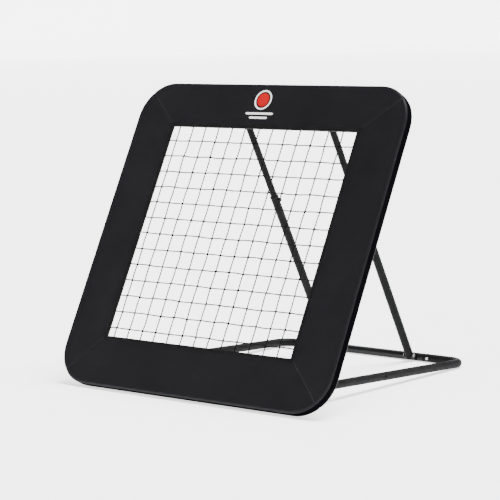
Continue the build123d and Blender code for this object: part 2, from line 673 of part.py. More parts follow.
# ---------------------------------------------------------------------- the struts
def make_lower_strut(name, side):
    """The wide lower tube of a strut, with its foot plug and the bush in its mouth."""
    across = side * STRUT_SPREAD / 2
    inward = Vector(-side, 0, 0)
    lock = strut_point(across, LOWER_REACH - LOCK_DROP)
    stud_hole = LOCK_STUD_RADIUS + PIVOT_PLAY
    foot_end = strut_point(across, -FOOT_OVERHANG)
    tube_length = LOWER_REACH + FOOT_OVERHANG
    with BuildPart() as tube:
        add_rod(foot_end, STRUT_DIRECTION, TUBE_RADIUS, tube_length)
        cut_hole(foot_end, STRUT_DIRECTION, BORE_RADIUS, tube_length)
        foot_start = FOOT + Vector(across - 2 * TUBE_RADIUS, 0, 0)
        cut_hole(foot_start, Vector(1, 0, 0), PIVOT_RADIUS + PIVOT_PLAY, 4 * TUBE_RADIUS)
        cut_hole(lock, inward, stud_hole, 2 * TUBE_RADIUS)
    save(tube.part, f"lower_strut_{name}")
    with BuildPart() as plug:
        add_rod(foot_end, STRUT_DIRECTION, BORE_RADIUS, PLUG_THICKNESS)
    save(plug.part, f"foot_plug_{name}")
    with BuildPart() as bush:
        add_rod(strut_point(across, LOWER_REACH), STRUT_DIRECTION, TUBE_RADIUS + BUSH_RIM, BUSH_FLANGE)
        fillet(bush.edges().sort_by(Axis(strut_point(across, 0), STRUT_DIRECTION))[-1], radius=BUSH_RIM)
        add_rod(strut_point(across, LOWER_REACH - BUSH_SLEEVE), STRUT_DIRECTION, BORE_RADIUS, BUSH_SLEEVE)
        bore_start = strut_point(across, LOWER_REACH - BUSH_SLEEVE)
        cut_hole(bore_start, STRUT_DIRECTION, UPPER_RADIUS + SLIDE_GAP, BUSH_SLEEVE + BUSH_FLANGE)
        cut_hole(lock, inward, stud_hole, 2 * TUBE_RADIUS)
    save(bush.part, f"mouth_bush_{name}")
    with BuildPart() as boss:
        add_rod(lock + inward * (TUBE_RADIUS / 2), inward, BOSS_RADIUS, TUBE_RADIUS / 2 + BOSS_HEIGHT)
        cut_hole(strut_point(across, 0), STRUT_DIRECTION, TUBE_RADIUS, LOWER_REACH)
        cut_hole(lock, inward, stud_hole, 2 * TUBE_RADIUS)
    save(boss.part, f"lock_boss_{name}")


def make_lock_knob(name, side):
    """The hand screw that locks a strut at its length."""
    across = side * STRUT_SPREAD / 2
    inward = Vector(-side, 0, 0)
    lock = strut_point(across, LOWER_REACH - LOCK_DROP)
    base = lock + inward * (TUBE_RADIUS + BOSS_HEIGHT + KNOB_GAP)
    tip = UPPER_RADIUS + LOCK_TIP_GAP
    stud_length = TUBE_RADIUS + BOSS_HEIGHT + KNOB_GAP + KNOB_LENGTH / 2 - tip
    with BuildPart() as stud:
        add_rod(lock + inward * tip, inward, LOCK_STUD_RADIUS, stud_length)
    save(stud.part, f"lock_stud_{name}")
    with BuildPart() as knob:
        with BuildSketch(Plane(origin=base, x_dir=STRUT_DIRECTION, z_dir=inward)):
            Circle(KNOB_RADIUS)
            with PolarLocations(KNOB_RADIUS + KNOB_FLUTE_RADIUS / 3, KNOB_FLUTES):
                Circle(KNOB_FLUTE_RADIUS, mode=Mode.SUBTRACT)
        extrude(amount=KNOB_LENGTH)
        fillet(knob.edges().group_by(Axis(base, inward))[-1], radius=1.0)
        cut_hole(base, inward, LOCK_STUD_RADIUS, KNOB_LENGTH / 2)
    save(knob.part, f"lock_knob_{name}")


def make_upper_strut(name, side):
    """The sliding upper tube of a strut, with its index holes, glide and eye."""
    across = side * STRUT_SPREAD / 2
    inward = Vector(-side, 0, 0)
    top = STRUT_LENGTH - EYE_REACH
    bottom = top - UPPER_LENGTH
    bore = UPPER_RADIUS - TUBE_WALL
    with BuildPart() as tube:
        add_rod(strut_point(across, bottom), STRUT_DIRECTION, UPPER_RADIUS, UPPER_LENGTH)
        cut_hole(strut_point(across, bottom), STRUT_DIRECTION, bore, UPPER_LENGTH)
        for level in range(-LEVELS_BELOW, LEVELS_ABOVE + 1):
            reach = LOWER_REACH - LOCK_DROP - slide_at(level * LEVEL_LEAN)
            cut_hole(strut_point(across, reach), inward, INDEX_HOLE_RADIUS, 2 * UPPER_RADIUS)
    save(tube.part, f"upper_strut_{name}")
    glide_start = strut_point(across, bottom - GLIDE_LENGTH)
    with BuildPart() as glide:
        add_rod(glide_start, STRUT_DIRECTION, BORE_RADIUS - SLIDE_GAP, GLIDE_LENGTH)
        add_rod(strut_point(across, bottom), STRUT_DIRECTION, bore, GLIDE_SHANK)
    save(glide.part, f"strut_glide_{name}")
    pivot = TOP_PIVOT + Vector(across, 0, 0)
    with BuildPart() as eye:
        add_rod(strut_point(across, top - EYE_SHANK), STRUT_DIRECTION, bore, EYE_SHANK)
        with BuildSketch(Plane(origin=pivot, x_dir=STRUT_DIRECTION, z_dir=(1, 0, 0))):
            with Locations((-EYE_REACH / 2, 0)):
                Rectangle(EYE_REACH, EYE_WIDTH)
            Circle(EYE_WIDTH / 2)
            slot = 2 * (PIVOT_RADIUS + SLOT_PLAY_ACROSS)
            SlotCenterToCenter(2 * (SLOT_PLAY_ALONG - SLOT_PLAY_ACROSS), slot, mode=Mode.SUBTRACT)
        extrude(amount=EYE_THICKNESS / 2, both=True)
    save(eye.part, f"strut_eye_{name}")


def main():
    """Build every sub-part and write it to its own file."""
    os.makedirs("parts", exist_ok=True)
    make_frame()
    make_frame_screws()
    make_cover()
    make_cover_straps()
    make_net()
    make_bungees()
    make_pivots()
    make_base()
    for name, side in SIDES.items():
        make_hinge_bracket(f"hinge_bracket_{name}", side)
        make_top_bracket(f"top_bracket_{name}", side)
        make_rail_bracket(f"rail_bracket_{name}", side)
        make_lower_strut(name, side)
        make_lock_knob(name, side)
        make_upper_strut(name, side)


if __name__ == "__main__":
    main()
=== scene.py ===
"""Looks of the ball rebounder: padded cover, knotted net, coated tubes and bright hardware."""
import logging
import math
import random
from dataclasses import dataclass, field
from enum import Enum
from typing import Callable, Sequence

import bpy
import numpy as np
from mathutils import Matrix, Vector, noise


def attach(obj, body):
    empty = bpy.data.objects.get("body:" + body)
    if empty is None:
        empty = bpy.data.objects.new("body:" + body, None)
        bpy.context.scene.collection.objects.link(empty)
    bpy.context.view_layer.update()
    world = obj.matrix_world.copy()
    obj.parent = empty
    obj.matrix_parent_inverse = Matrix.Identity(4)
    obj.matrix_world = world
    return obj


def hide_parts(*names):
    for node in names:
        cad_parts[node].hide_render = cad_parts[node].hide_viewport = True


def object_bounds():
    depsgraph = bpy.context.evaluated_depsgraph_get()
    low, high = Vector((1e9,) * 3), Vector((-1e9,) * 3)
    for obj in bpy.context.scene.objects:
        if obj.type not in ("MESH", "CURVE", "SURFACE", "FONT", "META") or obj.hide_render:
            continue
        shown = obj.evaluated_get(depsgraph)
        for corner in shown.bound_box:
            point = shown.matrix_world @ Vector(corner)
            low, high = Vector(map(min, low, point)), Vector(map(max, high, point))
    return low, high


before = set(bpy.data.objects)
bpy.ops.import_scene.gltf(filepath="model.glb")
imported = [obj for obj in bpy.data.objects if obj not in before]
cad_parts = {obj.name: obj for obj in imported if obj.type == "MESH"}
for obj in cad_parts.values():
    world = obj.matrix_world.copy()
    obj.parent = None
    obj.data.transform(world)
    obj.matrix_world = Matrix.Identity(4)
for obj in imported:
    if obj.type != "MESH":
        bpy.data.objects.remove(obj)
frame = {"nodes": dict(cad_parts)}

log = logging.getLogger("rebounder")
CAD_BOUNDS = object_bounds()
SIDES = {"left": -1, "right": 1}
SMALL = 1e-6
PRINT_THICKNESS = 0.0005
OUTWARDS = (0.0, 0.0, 1.0)
Rgb = tuple[float, float, float]
Piece = bpy.types.Object
Tree = bpy.types.NodeTree


# ------------------------------------------------------------------------------ node helpers
def new_group(name: str, inputs: dict[str, tuple[str, object]], outputs: dict[str, str]) -> tuple:
    """Start a shader node group with its sockets.

    Args:
        name: The group's name.
        inputs: Socket name to its type and default value.
        outputs: Socket name to its type.

    Returns:
        The tree, its input node and its output node.
    """
    tree = bpy.data.node_groups.new(name, "ShaderNodeTree")
    for label, (kind, default) in inputs.items():
        socket = tree.interface.new_socket(label, in_out="INPUT", socket_type=kind)
        if default is not None:
            socket.default_value = default
    for label, kind in outputs.items():
        tree.interface.new_socket(label, in_out="OUTPUT", socket_type=kind)
    return tree, tree.nodes.new("NodeGroupInput"), tree.nodes.new("NodeGroupOutput")


def feed(tree: Tree, value: object, socket: bpy.types.NodeSocket) -> None:
    """Set a plain number on an input, or link an output to it.

    Args:
        tree: The node tree.
        value: The number or the output.
        socket: The input.
    """
    if isinstance(value, (int, float)):
        socket.default_value = value
    else:
        tree.links.new(value, socket)


def add_math(tree: Tree, operation: str, first: object, second: object = 0.0) -> object:
    """Add a math node.

    Args:
        tree: The node tree.
        operation: What the node does.
        first: Its first number or output.
        second: Its second number or output.

    Returns:
        The node's output.
    """
    node = tree.nodes.new("ShaderNodeMath")
    node.operation = operation
    feed(tree, first, node.inputs[0])
    feed(tree, second, node.inputs[1])
    return node.outputs[0]


def add_noise(tree: Tree, vector: object, scale: object, detail: float) -> object:
    """Add a noise texture.

    Args:
        tree: The node tree.
        vector: Where it is read.
        scale: Its scale, a number or an output.
        detail: How many octaves it has.

    Returns:
        Its value output.
    """
    node = tree.nodes.new("ShaderNodeTexNoise")
    node.inputs["Detail"].default_value = detail
    node.inputs["Roughness"].default_value = 0.55
    tree.links.new(vector, node.inputs["Vector"])
    feed(tree, scale, node.inputs["Scale"])
    return node.outputs["Fac"]


def grain_group() -> Tree:
    """Fine embossed grain: small cells broken up by noise, as on coated cloth and moulded plastic.

    Returns:
        The group's tree.
    """
    inputs = {"Vector": ("NodeSocketVector", None), "Scale": ("NodeSocketFloat", 900.0)}
    tree, start, end = new_group("fine_grain", inputs, {"Height": "NodeSocketFloat"})
    cells = tree.nodes.new("ShaderNodeTexVoronoi")
    cells.feature = "SMOOTH_F1"
    tree.links.new(start.outputs["Vector"], cells.inputs["Vector"])
    tree.links.new(start.outputs["Scale"], cells.inputs["Scale"])
    speck = add_noise(tree, start.outputs["Vector"], start.outputs["Scale"], 2.0)
    mixed = add_math(tree, "ADD", cells.outputs["Distance"], add_math(tree, "MULTIPLY", speck, 0.6))
    tree.links.new(mixed, end.inputs["Height"])
    return tree


def variation_group() -> Tree:
    """Slow drift over a surface, for tone and gloss that aren't quite even.

    Returns:
        The group's tree.
    """
    inputs = {"Vector": ("NodeSocketVector", None), "Scale": ("NodeSocketFloat", 6.0),
              "Low": ("NodeSocketFloat", 0.0), "High": ("NodeSocketFloat", 1.0)}
    tree, start, end = new_group("slow_drift", inputs, {"Value": "NodeSocketFloat"})
    broad = add_noise(tree, start.outputs["Vector"], start.outputs["Scale"], 3.0)
    spread = tree.nodes.new("ShaderNodeMapRange")
    spread.inputs["From Min"].default_value = 0.32
    spread.inputs["From Max"].default_value = 0.68
    tree.links.new(broad, spread.inputs["Value"])
    tree.links.new(start.outputs["Low"], spread.inputs["To Min"])
    tree.links.new(start.outputs["High"], spread.inputs["To Max"])
    tree.links.new(spread.outputs["Result"], end.inputs["Value"])
    return tree


def scuff_group() -> Tree:
    """Thin handling scuffs: stretched noise cut to a few streaks.

    Returns:
        The group's tree.
    """
    inputs = {"Vector": ("NodeSocketVector", None), "Scale": ("NodeSocketFloat", 30.0),
              "Amount": ("NodeSocketFloat", 0.5)}
    tree, start, end = new_group("scuffs", inputs, {"Mask": "NodeSocketFloat"})
    stretch = tree.nodes.new("ShaderNodeMapping")
    stretch.inputs["Scale"].default_value = (1.0, 0.12, 1.0)
    stretch.inputs["Rotation"].default_value = (0.3, 0.2, 0.7)
    tree.links.new(start.outputs["Vector"], stretch.inputs["Vector"])
    streak = add_noise(tree, stretch.outputs["Vector"], start.outputs["Scale"], 5.0)
    cut = add_math(tree, "SUBTRACT", streak, 0.63)
    sharp = add_math(tree, "MULTIPLY", cut, 9.0)
    sharp.node.use_clamp = True
    tree.links.new(add_math(tree, "MULTIPLY", sharp, start.outputs["Amount"]), end.inputs["Mask"])
    return tree


def twist_group() -> Tree:
    """Diagonal ridges of laid or braided cord, from a UV map in metres: u along, v around.

    Returns:
        The group's tree.
    """
    inputs = {"UV": ("NodeSocketVector", None), "Pitch": ("NodeSocketFloat", 0.006),
              "Plies": ("NodeSocketFloat", 3.0)}
    tree, start, end = new_group("twisted_cord", inputs, {"Height": "NodeSocketFloat"})
    split = tree.nodes.new("ShaderNodeSeparateXYZ")
    tree.links.new(start.outputs["UV"], split.inputs[0])
    along = add_math(tree, "DIVIDE", split.outputs["X"], start.outputs["Pitch"])
    around = add_math(tree, "MULTIPLY", split.outputs["Y"], start.outputs["Plies"])
    phase = add_math(tree, "MULTIPLY", add_math(tree, "ADD", along, around), 2 * math.pi)
    tree.links.new(add_math(tree, "ABSOLUTE", add_math(tree, "SINE", phase)), end.inputs["Height"])
    return tree


def weave_group() -> Tree:
    """Plain weave of narrow webbing, from a UV map in metres.

    Returns:
        The group's tree.
    """
    inputs = {"UV": ("NodeSocketVector", None), "Thread": ("NodeSocketFloat", 0.0012)}
    tree, start, end = new_group("plain_weave", inputs, {"Height": "NodeSocketFloat"})
    split = tree.nodes.new("ShaderNodeSeparateXYZ")
    tree.links.new(start.outputs["UV"], split.inputs[0])
    waves = []
    for axis in ("X", "Y"):
        turns = add_math(tree, "DIVIDE", split.outputs[axis], start.outputs["Thread"])
        waves.append(add_math(tree, "SINE", add_math(tree, "MULTIPLY", turns, math.pi)))
    crossing = add_math(tree, "MULTIPLY", waves[0], waves[1])
    tree.links.new(add_math(tree, "ABSOLUTE", crossing), end.inputs["Height"])
    return tree


class Relief(Enum):
    """What gives a finish its fine relief."""

    GRAIN = "fine_grain"
    TWIST = "twisted_cord"
    WEAVE = "plain_weave"


RELIEF_SOCKETS = {
    Relief.GRAIN: ("Scale", "Object", "Vector"),
    Relief.TWIST: ("Pitch", "UV", "UV"),
    Relief.WEAVE: ("Thread", "UV", "UV"),
}
GROUP_MAKERS: dict[str, Callable[[], Tree]] = {
    "fine_grain": grain_group,
    "slow_drift": variation_group,
    "scuffs": scuff_group,
    "twisted_cord": twist_group,
    "plain_weave": weave_group,
}


def shared_group(name: str) -> Tree:
    """The shader node group of that name, built the first time that it is asked for."""
    return bpy.data.node_groups.get(name) or GROUP_MAKERS[name]()


@dataclass(frozen=True)
class Finish:
    """One finish: its colours, gloss and relief, and the material that they make."""

    name: str
    dark: Rgb
    light: Rgb
    gloss: tuple[float, float]
    metallic: float = 0.0
    specular: float = 0.5
    sheen: float = 0.0
    relief: Relief = Relief.GRAIN
    relief_scale: float = 900.0
    relief_depth: float = 0.00005
    plies: float = 3.0
    drift_scale: float = 6.0
    scuffs: float = 0.0
    scuff_colour: Rgb = (0.05, 0.05, 0.052)
    glow: float = 0.0

    def build(self) -> bpy.types.Material:
        """Make the material.

        Returns:
            The material, with its relief, its drift of tone and gloss, and its scuffs.
        """
        material = bpy.data.materials.new(self.name)
        material.use_nodes = True
        tree = material.node_tree
        shader = tree.nodes["Principled BSDF"]
        place = tree.nodes.new("ShaderNodeTexCoord")
        shader.inputs["Metallic"].default_value = self.metallic
        shader.inputs["Specular IOR Level"].default_value = self.specular
        shader.inputs["Sheen Weight"].default_value = self.sheen
        shader.inputs["Sheen Roughness"].default_value = 0.5
        shader.inputs["Emission Color"].default_value = (1.0, 1.0, 1.0, 1.0)
        shader.inputs["Emission Strength"].default_value = self.glow
        tone = self.drift(tree, place, 0.0, 1.0, self.drift_scale)
        blend = tree.nodes.new("ShaderNodeMix")
        blend.data_type = "RGBA"
        blend.inputs[6].default_value = (*self.dark, 1.0)
        blend.inputs[7].default_value = (*self.light, 1.0)
        tree.links.new(tone, blend.inputs[0])
        colour = blend.outputs[2]
        rough = self.drift(tree, place, *self.gloss, self.drift_scale * 2.3)
        if self.scuffs:
            marks = tree.nodes.new("ShaderNodeGroup")
            marks.node_tree = shared_group("scuffs")
            marks.inputs["Amount"].default_value = self.scuffs
            tree.links.new(place.outputs["Object"], marks.inputs["Vector"])
            worn = tree.nodes.new("ShaderNodeMix")
            worn.data_type = "RGBA"
            worn.inputs[7].default_value = (*self.scuff_colour, 1.0)
            tree.links.new(marks.outputs["Mask"], worn.inputs[0])
            tree.links.new(colour, worn.inputs[6])
            colour = worn.outputs[2]
            rough = add_math(tree, "ADD", rough, add_math(tree, "MULTIPLY", marks.outputs["Mask"], 0.12))
        tree.links.new(colour, shader.inputs["Base Color"])
        tree.links.new(rough, shader.inputs["Roughness"])
        bump = tree.nodes.new("ShaderNodeBump")
        bump.inputs["Distance"].default_value = self.relief_depth
        tree.links.new(self.height(tree, place), bump.inputs["Height"])
        tree.links.new(bump.outputs["Normal"], shader.inputs["Normal"])
        return material

    def drift(self, tree: Tree, place: bpy.types.Node, low: float, high: float,
              scale: float) -> object:
        """Place the slow-drift group.

        Args:
            tree: The material's tree.
            place: Its texture coordinates.
            low: The least value.
            high: The greatest value.
            scale: The scale of the drift.

        Returns:
            The group's output.
        """
        node = tree.nodes.new("ShaderNodeGroup")
        node.node_tree = shared_group("slow_drift")
        node.inputs["Scale"].default_value = scale
        node.inputs["Low"].default_value = low
        node.inputs["High"].default_value = high
        tree.links.new(place.outputs["Object"], node.inputs["Vector"])
        return node.outputs["Value"]

    def height(self, tree: Tree, place: bpy.types.Node) -> object:
        """Place this finish's relief group.

        Args:
            tree: The material's tree.
            place: Its texture coordinates.

        Returns:
            The group's height output.
        """
        node = tree.nodes.new("ShaderNodeGroup")
        node.node_tree = shared_group(self.relief.value)
        size, source, target = RELIEF_SOCKETS[self.relief]
        node.inputs[size].default_value = self.relief_scale
        if self.relief is Relief.TWIST:
            node.inputs["Plies"].default_value = self.plies
        tree.links.new(place.outputs[source], node.inputs[target])
        return node.outputs["Height"]


COVER_VINYL = Finish("cover_vinyl", (0.0042, 0.0040, 0.0050), (0.0052, 0.0050, 0.0062), (0.44, 0.54),
                     specular=0.09, relief_scale=1400.0, relief_depth=0.00006, drift_scale=3.5,
                     scuffs=0.10, scuff_colour=(0.016, 0.016, 0.018))
# Side band: a darker, non-reflecting copy of the cover vinyl, which is painted shade where the same vinyl
# turns away from the light.
BAND_PAINTED_SHADE = Finish("band_vinyl_painted_shade", (0.0016, 0.0015, 0.0020), (0.0022, 0.0021, 0.0026), (0.55, 0.66),
                    specular=0.0, relief_scale=1600.0, relief_depth=0.00006, drift_scale=5.0)
LINING = Finish("cover_lining", (0.0050, 0.0050, 0.0055), (0.0080, 0.0080, 0.0088), (0.75, 0.90),
                specular=0.08, sheen=0.05, relief_scale=2200.0, relief_depth=0.00012, drift_scale=8.0)
BINDING_TAPE = Finish("binding_tape", (0.0018, 0.0018, 0.0020), (0.0030, 0.0030, 0.0033), (0.60, 0.75),
                      specular=0.08, relief=Relief.WEAVE, relief_scale=0.0009, relief_depth=0.00012,
                      drift_scale=9.0)
WEBBING = Finish("webbing", (0.0035, 0.0035, 0.0040), (0.0060, 0.0060, 0.0066), (0.60, 0.75),
                 specular=0.12, sheen=0.05, relief=Relief.WEAVE, relief_scale=0.0014,
                 relief_depth=0.00025, drift_scale=20.0)
SEWING_THREAD = Finish("sewing_thread", (0.0040, 0.0040, 0.0045), (0.0065, 0.0065, 0.0070), (0.50, 0.65),
                       specular=0.12, relief_scale=4000.0, relief_depth=0.00005, drift_scale=30.0)
NET_TWINE = Finish("net_twine", (0.0010, 0.0010, 0.0012), (0.0028, 0.0028, 0.0031), (0.60, 0.75),
                   specular=0.05, relief=Relief.TWIST, relief_scale=0.0045, relief_depth=0.00035,
                   plies=1.0, drift_scale=25.0)
BORDER_CORD = Finish("border_cord", (0.0025, 0.0025, 0.0028), (0.0050, 0.0050, 0.0055), (0.55, 0.70),
                     specular=0.10, relief=Relief.TWIST, relief_scale=0.012, relief_depth=0.0006,
                     plies=2.0, drift_scale=20.0)
ELASTIC = Finish("elastic", (0.0035, 0.0035, 0.0040), (0.0080, 0.0080, 0.0086), (0.55, 0.70),
                 specular=0.12, relief_scale=700.0, relief_depth=0.0003, drift_scale=40.0)
SATIN_COAT = Finish("satin_coat", (0.0040, 0.0040, 0.0043), (0.0068, 0.0068, 0.0073), (0.46, 0.58),
                    specular=0.05, relief_scale=500.0, relief_depth=0.00007, drift_scale=14.0,
                    scuffs=0.20, scuff_colour=(0.018, 0.018, 0.019))
POWDER_COAT = Finish("powder_coat", (0.0030, 0.0030, 0.0034), (0.0056, 0.0056, 0.0060), (0.26, 0.36),
                     specular=0.16, relief_scale=600.0, relief_depth=0.00005, drift_scale=9.0,
                     scuffs=0.12, scuff_colour=(0.014, 0.014, 0.015))
BLACK_PLASTIC = Finish("black_plastic", (0.0024, 0.0024, 0.0027), (0.0040, 0.0040, 0.0044), (0.42, 0.55),
                       specular=0.15, relief_scale=1800.0, relief_depth=0.00006, drift_scale=25.0)
ZINC = Finish("zinc_plate", (0.30, 0.30, 0.295), (0.42, 0.42, 0.41), (0.28, 0.40), metallic=1.0,
              relief_scale=1500.0, relief_depth=0.00003, drift_scale=60.0, scuffs=0.2,
              scuff_colour=(0.4, 0.4, 0.39))
PRINT_WHITE = Finish("print_white", (0.62, 0.62, 0.61), (0.70, 0.70, 0.69), (0.44, 0.54),
                     specular=0.12, relief_scale=1400.0, relief_depth=0.00004, drift_scale=20.0)
PRINT_RED = Finish("print_red", (0.30, 0.0022, 0.0030), (0.36, 0.0032, 0.0042), (0.44, 0.54),
                   specular=0.12, relief_scale=1400.0, relief_depth=0.00004, drift_scale=20.0)
FLOOR_FINISH = Finish("studio_floor", (0.88, 0.88, 0.88), (0.90, 0.90, 0.90), (0.7, 0.8),
                      relief_scale=200.0, relief_depth=0.0001, drift_scale=1.0, glow=1.3)
WALL_FINISH = Finish("studio_wall", (0.88, 0.88, 0.88), (0.90, 0.90, 0.90), (0.7, 0.8),
                     relief_scale=200.0, relief_depth=0.0001, drift_scale=1.0, glow=3.0)


class Palette:
    """The finishes that are in use, each made into a material once."""

    def __init__(self) -> None:
        """Start with nothing made."""
        self.made: dict[str, bpy.types.Material] = {}

    def get(self, finish: Finish) -> bpy.types.Material:
        """Find or make the material of a finish.

        Args:
            finish: The finish.

        Returns:
            Its material.
        """
        if finish.name not in self.made:
            self.made[finish.name] = finish.build()
        return self.made[finish.name]


# ------------------------------------------------------------------------------ mesh helpers
@dataclass
class MeshData:
    """Points, faces and a UV for each face corner, gathered before they become a piece."""

    points: list = field(default_factory=list)
    faces: list = field(default_factory=list)
    uvs: list = field(default_factory=list)
    kinds: list = field(default_factory=list)

    def add(self, points: np.ndarray, faces: Sequence, uvs: Sequence, kinds: Sequence[int] = ()) -> None:
        """Join another stretch of surface on.

        Args:
            points: Its points, three numbers each.
            faces: Its faces, as indices into those points.
            uvs: For each face, a UV for each corner.
            kinds: For each face, its material slot, or nothing for the first slot.
        """
        start = sum(len(block) for block in self.points)
        self.points.append(np.asarray(points, float))
        self.faces += [[start + index for index in face] for face in faces]
        self.uvs += uvs
        self.kinds += kinds or [0] * len(faces)

    def to_object(self, name: str, matrix: Matrix = Matrix.Identity(4)) -> Piece:
        """Make the piece.

        Args:
            name: The piece's name.
            matrix: Where the points go in the row frame.

        Returns:
            The object, at the origin, with its place in its mesh.
        """
        mesh = bpy.data.meshes.new(name)
        points = np.concatenate(self.points)
        mesh.from_pydata(points.tolist(), [], self.faces)
        layer = mesh.uv_layers.new(name="UVMap")
        layer.data.foreach_set("uv", np.array([c for uv in self.uvs for c in uv], float).ravel())
        mesh.polygons.foreach_set("material_index", self.kinds)
        mesh.polygons.foreach_set("use_smooth", [True] * len(self.faces))
        mesh.transform(matrix)
        mesh.update()
        piece = bpy.data.objects.new(name, mesh)
        bpy.context.collection.objects.link(piece)
        return piece


def distances(path: np.ndarray) -> np.ndarray:
    """How far along a path each of its points is, starting from nought."""
    return np.concatenate(([0.0], np.cumsum(np.linalg.norm(np.diff(path, axis=0), axis=1))))


def strip(lengths: Sequence[float], turns: Sequence[tuple[float, float]], closed: bool) -> tuple[list, list]:
    """Join neighbouring rings of points with faces.

    Args:
        lengths: How far along each ring is, and for a loop how far round the first ring is again.
        turns: For each side of a ring, the UV's second part at its start and at its end.
        closed: Whether the last ring joins the first.

    Returns:
        The faces, and for each of them a UV for each corner.
    """
    spans, sides = len(lengths) - 1, len(turns)
    faces, uvs = [], []
    for ring in range(spans):
        here, after = ring * sides, (ring + 1) % (spans if closed else spans + 1) * sides
        low, high = lengths[ring], lengths[ring + 1]
        for side, (near, far) in enumerate(turns):
            beside = (side + 1) % sides
            faces.append((here + side, here + beside, after + beside, after + side))
            uvs.append(((low, near), (low, far), (high, far), (high, near)))
    return faces, uvs


def tube_rings(path: np.ndarray, radius: float, sides: int, closed: bool = False) -> np.ndarray:
    """Rings of points round a path, carried along it without twisting.

    Args:
        path: The centre line's points.
        radius: The tube's radius.
        sides: Points in each ring.
        closed: Whether the path is a loop.

    Returns:
        An array of rings, each an array of points.
    """
    step = np.roll(path, -1, 0) - np.roll(path, 1, 0) if closed else np.gradient(path, axis=0)
    tangents = step / np.linalg.norm(step, axis=1, keepdims=True)
    normal = np.cross(tangents[0], (0.0, 0.0, 1.0))
    if np.linalg.norm(normal) < 0.1:
        normal = np.cross(tangents[0], (0.0, 1.0, 0.0))
    rings = []
    turns = np.arange(sides) * 2 * math.pi / sides
    for point, tangent in zip(path, tangents):
        normal = normal - tangent * normal.dot(tangent)
        normal = normal / np.linalg.norm(normal)
        across = np.cross(tangent, normal)
        rings.append(point + radius * (np.cos(turns)[:, None] * normal + np.sin(turns)[:, None] * across))
    return np.array(rings)


def add_tube(data: MeshData, path: np.ndarray, radius: float, sides: int, closed: bool = False) -> None:
    """Add a round tube along a path, with a UV of metres along and turns around.

    Args:
        data: The mesh that gets it.
        path: The centre line's points.
        radius: The tube's radius.
        sides: Points in each ring.
        closed: Whether the path is a loop, which then has no end caps.
    """
    lengths = distances(path)
    if closed:
        lengths = np.append(lengths, lengths[-1] + lengths[1])
    faces, uvs = strip(lengths, [(side / sides, (side + 1) / sides) for side in range(sides)], closed)
    if not closed:
        last = (len(path) - 1) * sides
        faces += [tuple(reversed(range(sides))), tuple(last + side for side in range(sides))]
        uvs += [((0.0, 0.0),) * sides] * 2
    data.add(tube_rings(path, radius, sides, closed).reshape(-1, 3), faces, uvs)


def deselect() -> None:
    """Leave edit mode and select nothing."""
    if bpy.context.object and bpy.context.object.mode != "OBJECT":
        bpy.ops.object.mode_set(mode="OBJECT")
    bpy.ops.object.select_all(action="DESELECT")


def choose(piece: Piece) -> None:
    """Select one piece alone and make it active.

    Args:
        piece: The piece.
    """
    deselect()
    piece.select_set(True)
    bpy.context.view_layer.objects.active = piece


def recalculate(piece: Piece) -> None:
    """Merge doubled points and turn every face outwards.

    Args:
        piece: The piece.
    """
    choose(piece)
    bpy.ops.object.mode_set(mode="EDIT")
    bpy.ops.mesh.select_all(action="SELECT")
    bpy.ops.mesh.remove_doubles(threshold=SMALL)
    bpy.ops.mesh.normals_make_consistent(inside=False)
    deselect()


def settle(piece: Piece, materials: Sequence[bpy.types.Material], body: str) -> None:
    """Give a piece its materials and its body.

    Args:
        piece: The finished piece.
        materials: Its materials, in the order of its faces' slots.
        body: The CAD body that it rides on.
    """
    for material in materials:
        piece.data.materials.append(material)
    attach(piece, body)
    log.info("%s: %d faces on %s", piece.name, len(piece.data.polygons), body)


# ------------------------------------------------------------------------------ the leaning panel
@dataclass(frozen=True)
class PanelFrame:
    """The leaning panel's own axes: x across it, y up its face and z out of its face, forwards."""

    lean: float = math.radians(27.5)
    width: float = 1.280
    height: float = 1.237
    thickness: float = 0.044
    edge_round: float = 0.008
    tube_radius: float = 0.016
    tube_inset: float = 0.0225
    tube_depth: float = 0.025

    def matrix(self) -> Matrix:
        """Place the panel's axes in the row frame, from its lower front edge.

        Returns:
            The axes.
        """
        low = Vector(CAD_BOUNDS[0])
        sine, cosine, rounding = math.sin(self.lean), math.cos(self.lean), self.edge_round
        origin = Vector((
            0.0,
            low.y + rounding - rounding * (sine + cosine),
            low.z + rounding + (self.thickness - rounding) * sine - rounding * cosine,
        ))
        axes = Matrix(((1.0, 0.0, 0.0), (0.0, sine, -cosine), (0.0, cosine, sine)))
        return Matrix.Translation(origin) @ axes.to_4x4()


class Section(Enum):
    """The cover's four sections, in order round the panel, and their turn from the bottom one."""

    BOTTOM = 0
    RIGHT = 1
    TOP = 2
    LEFT = 3


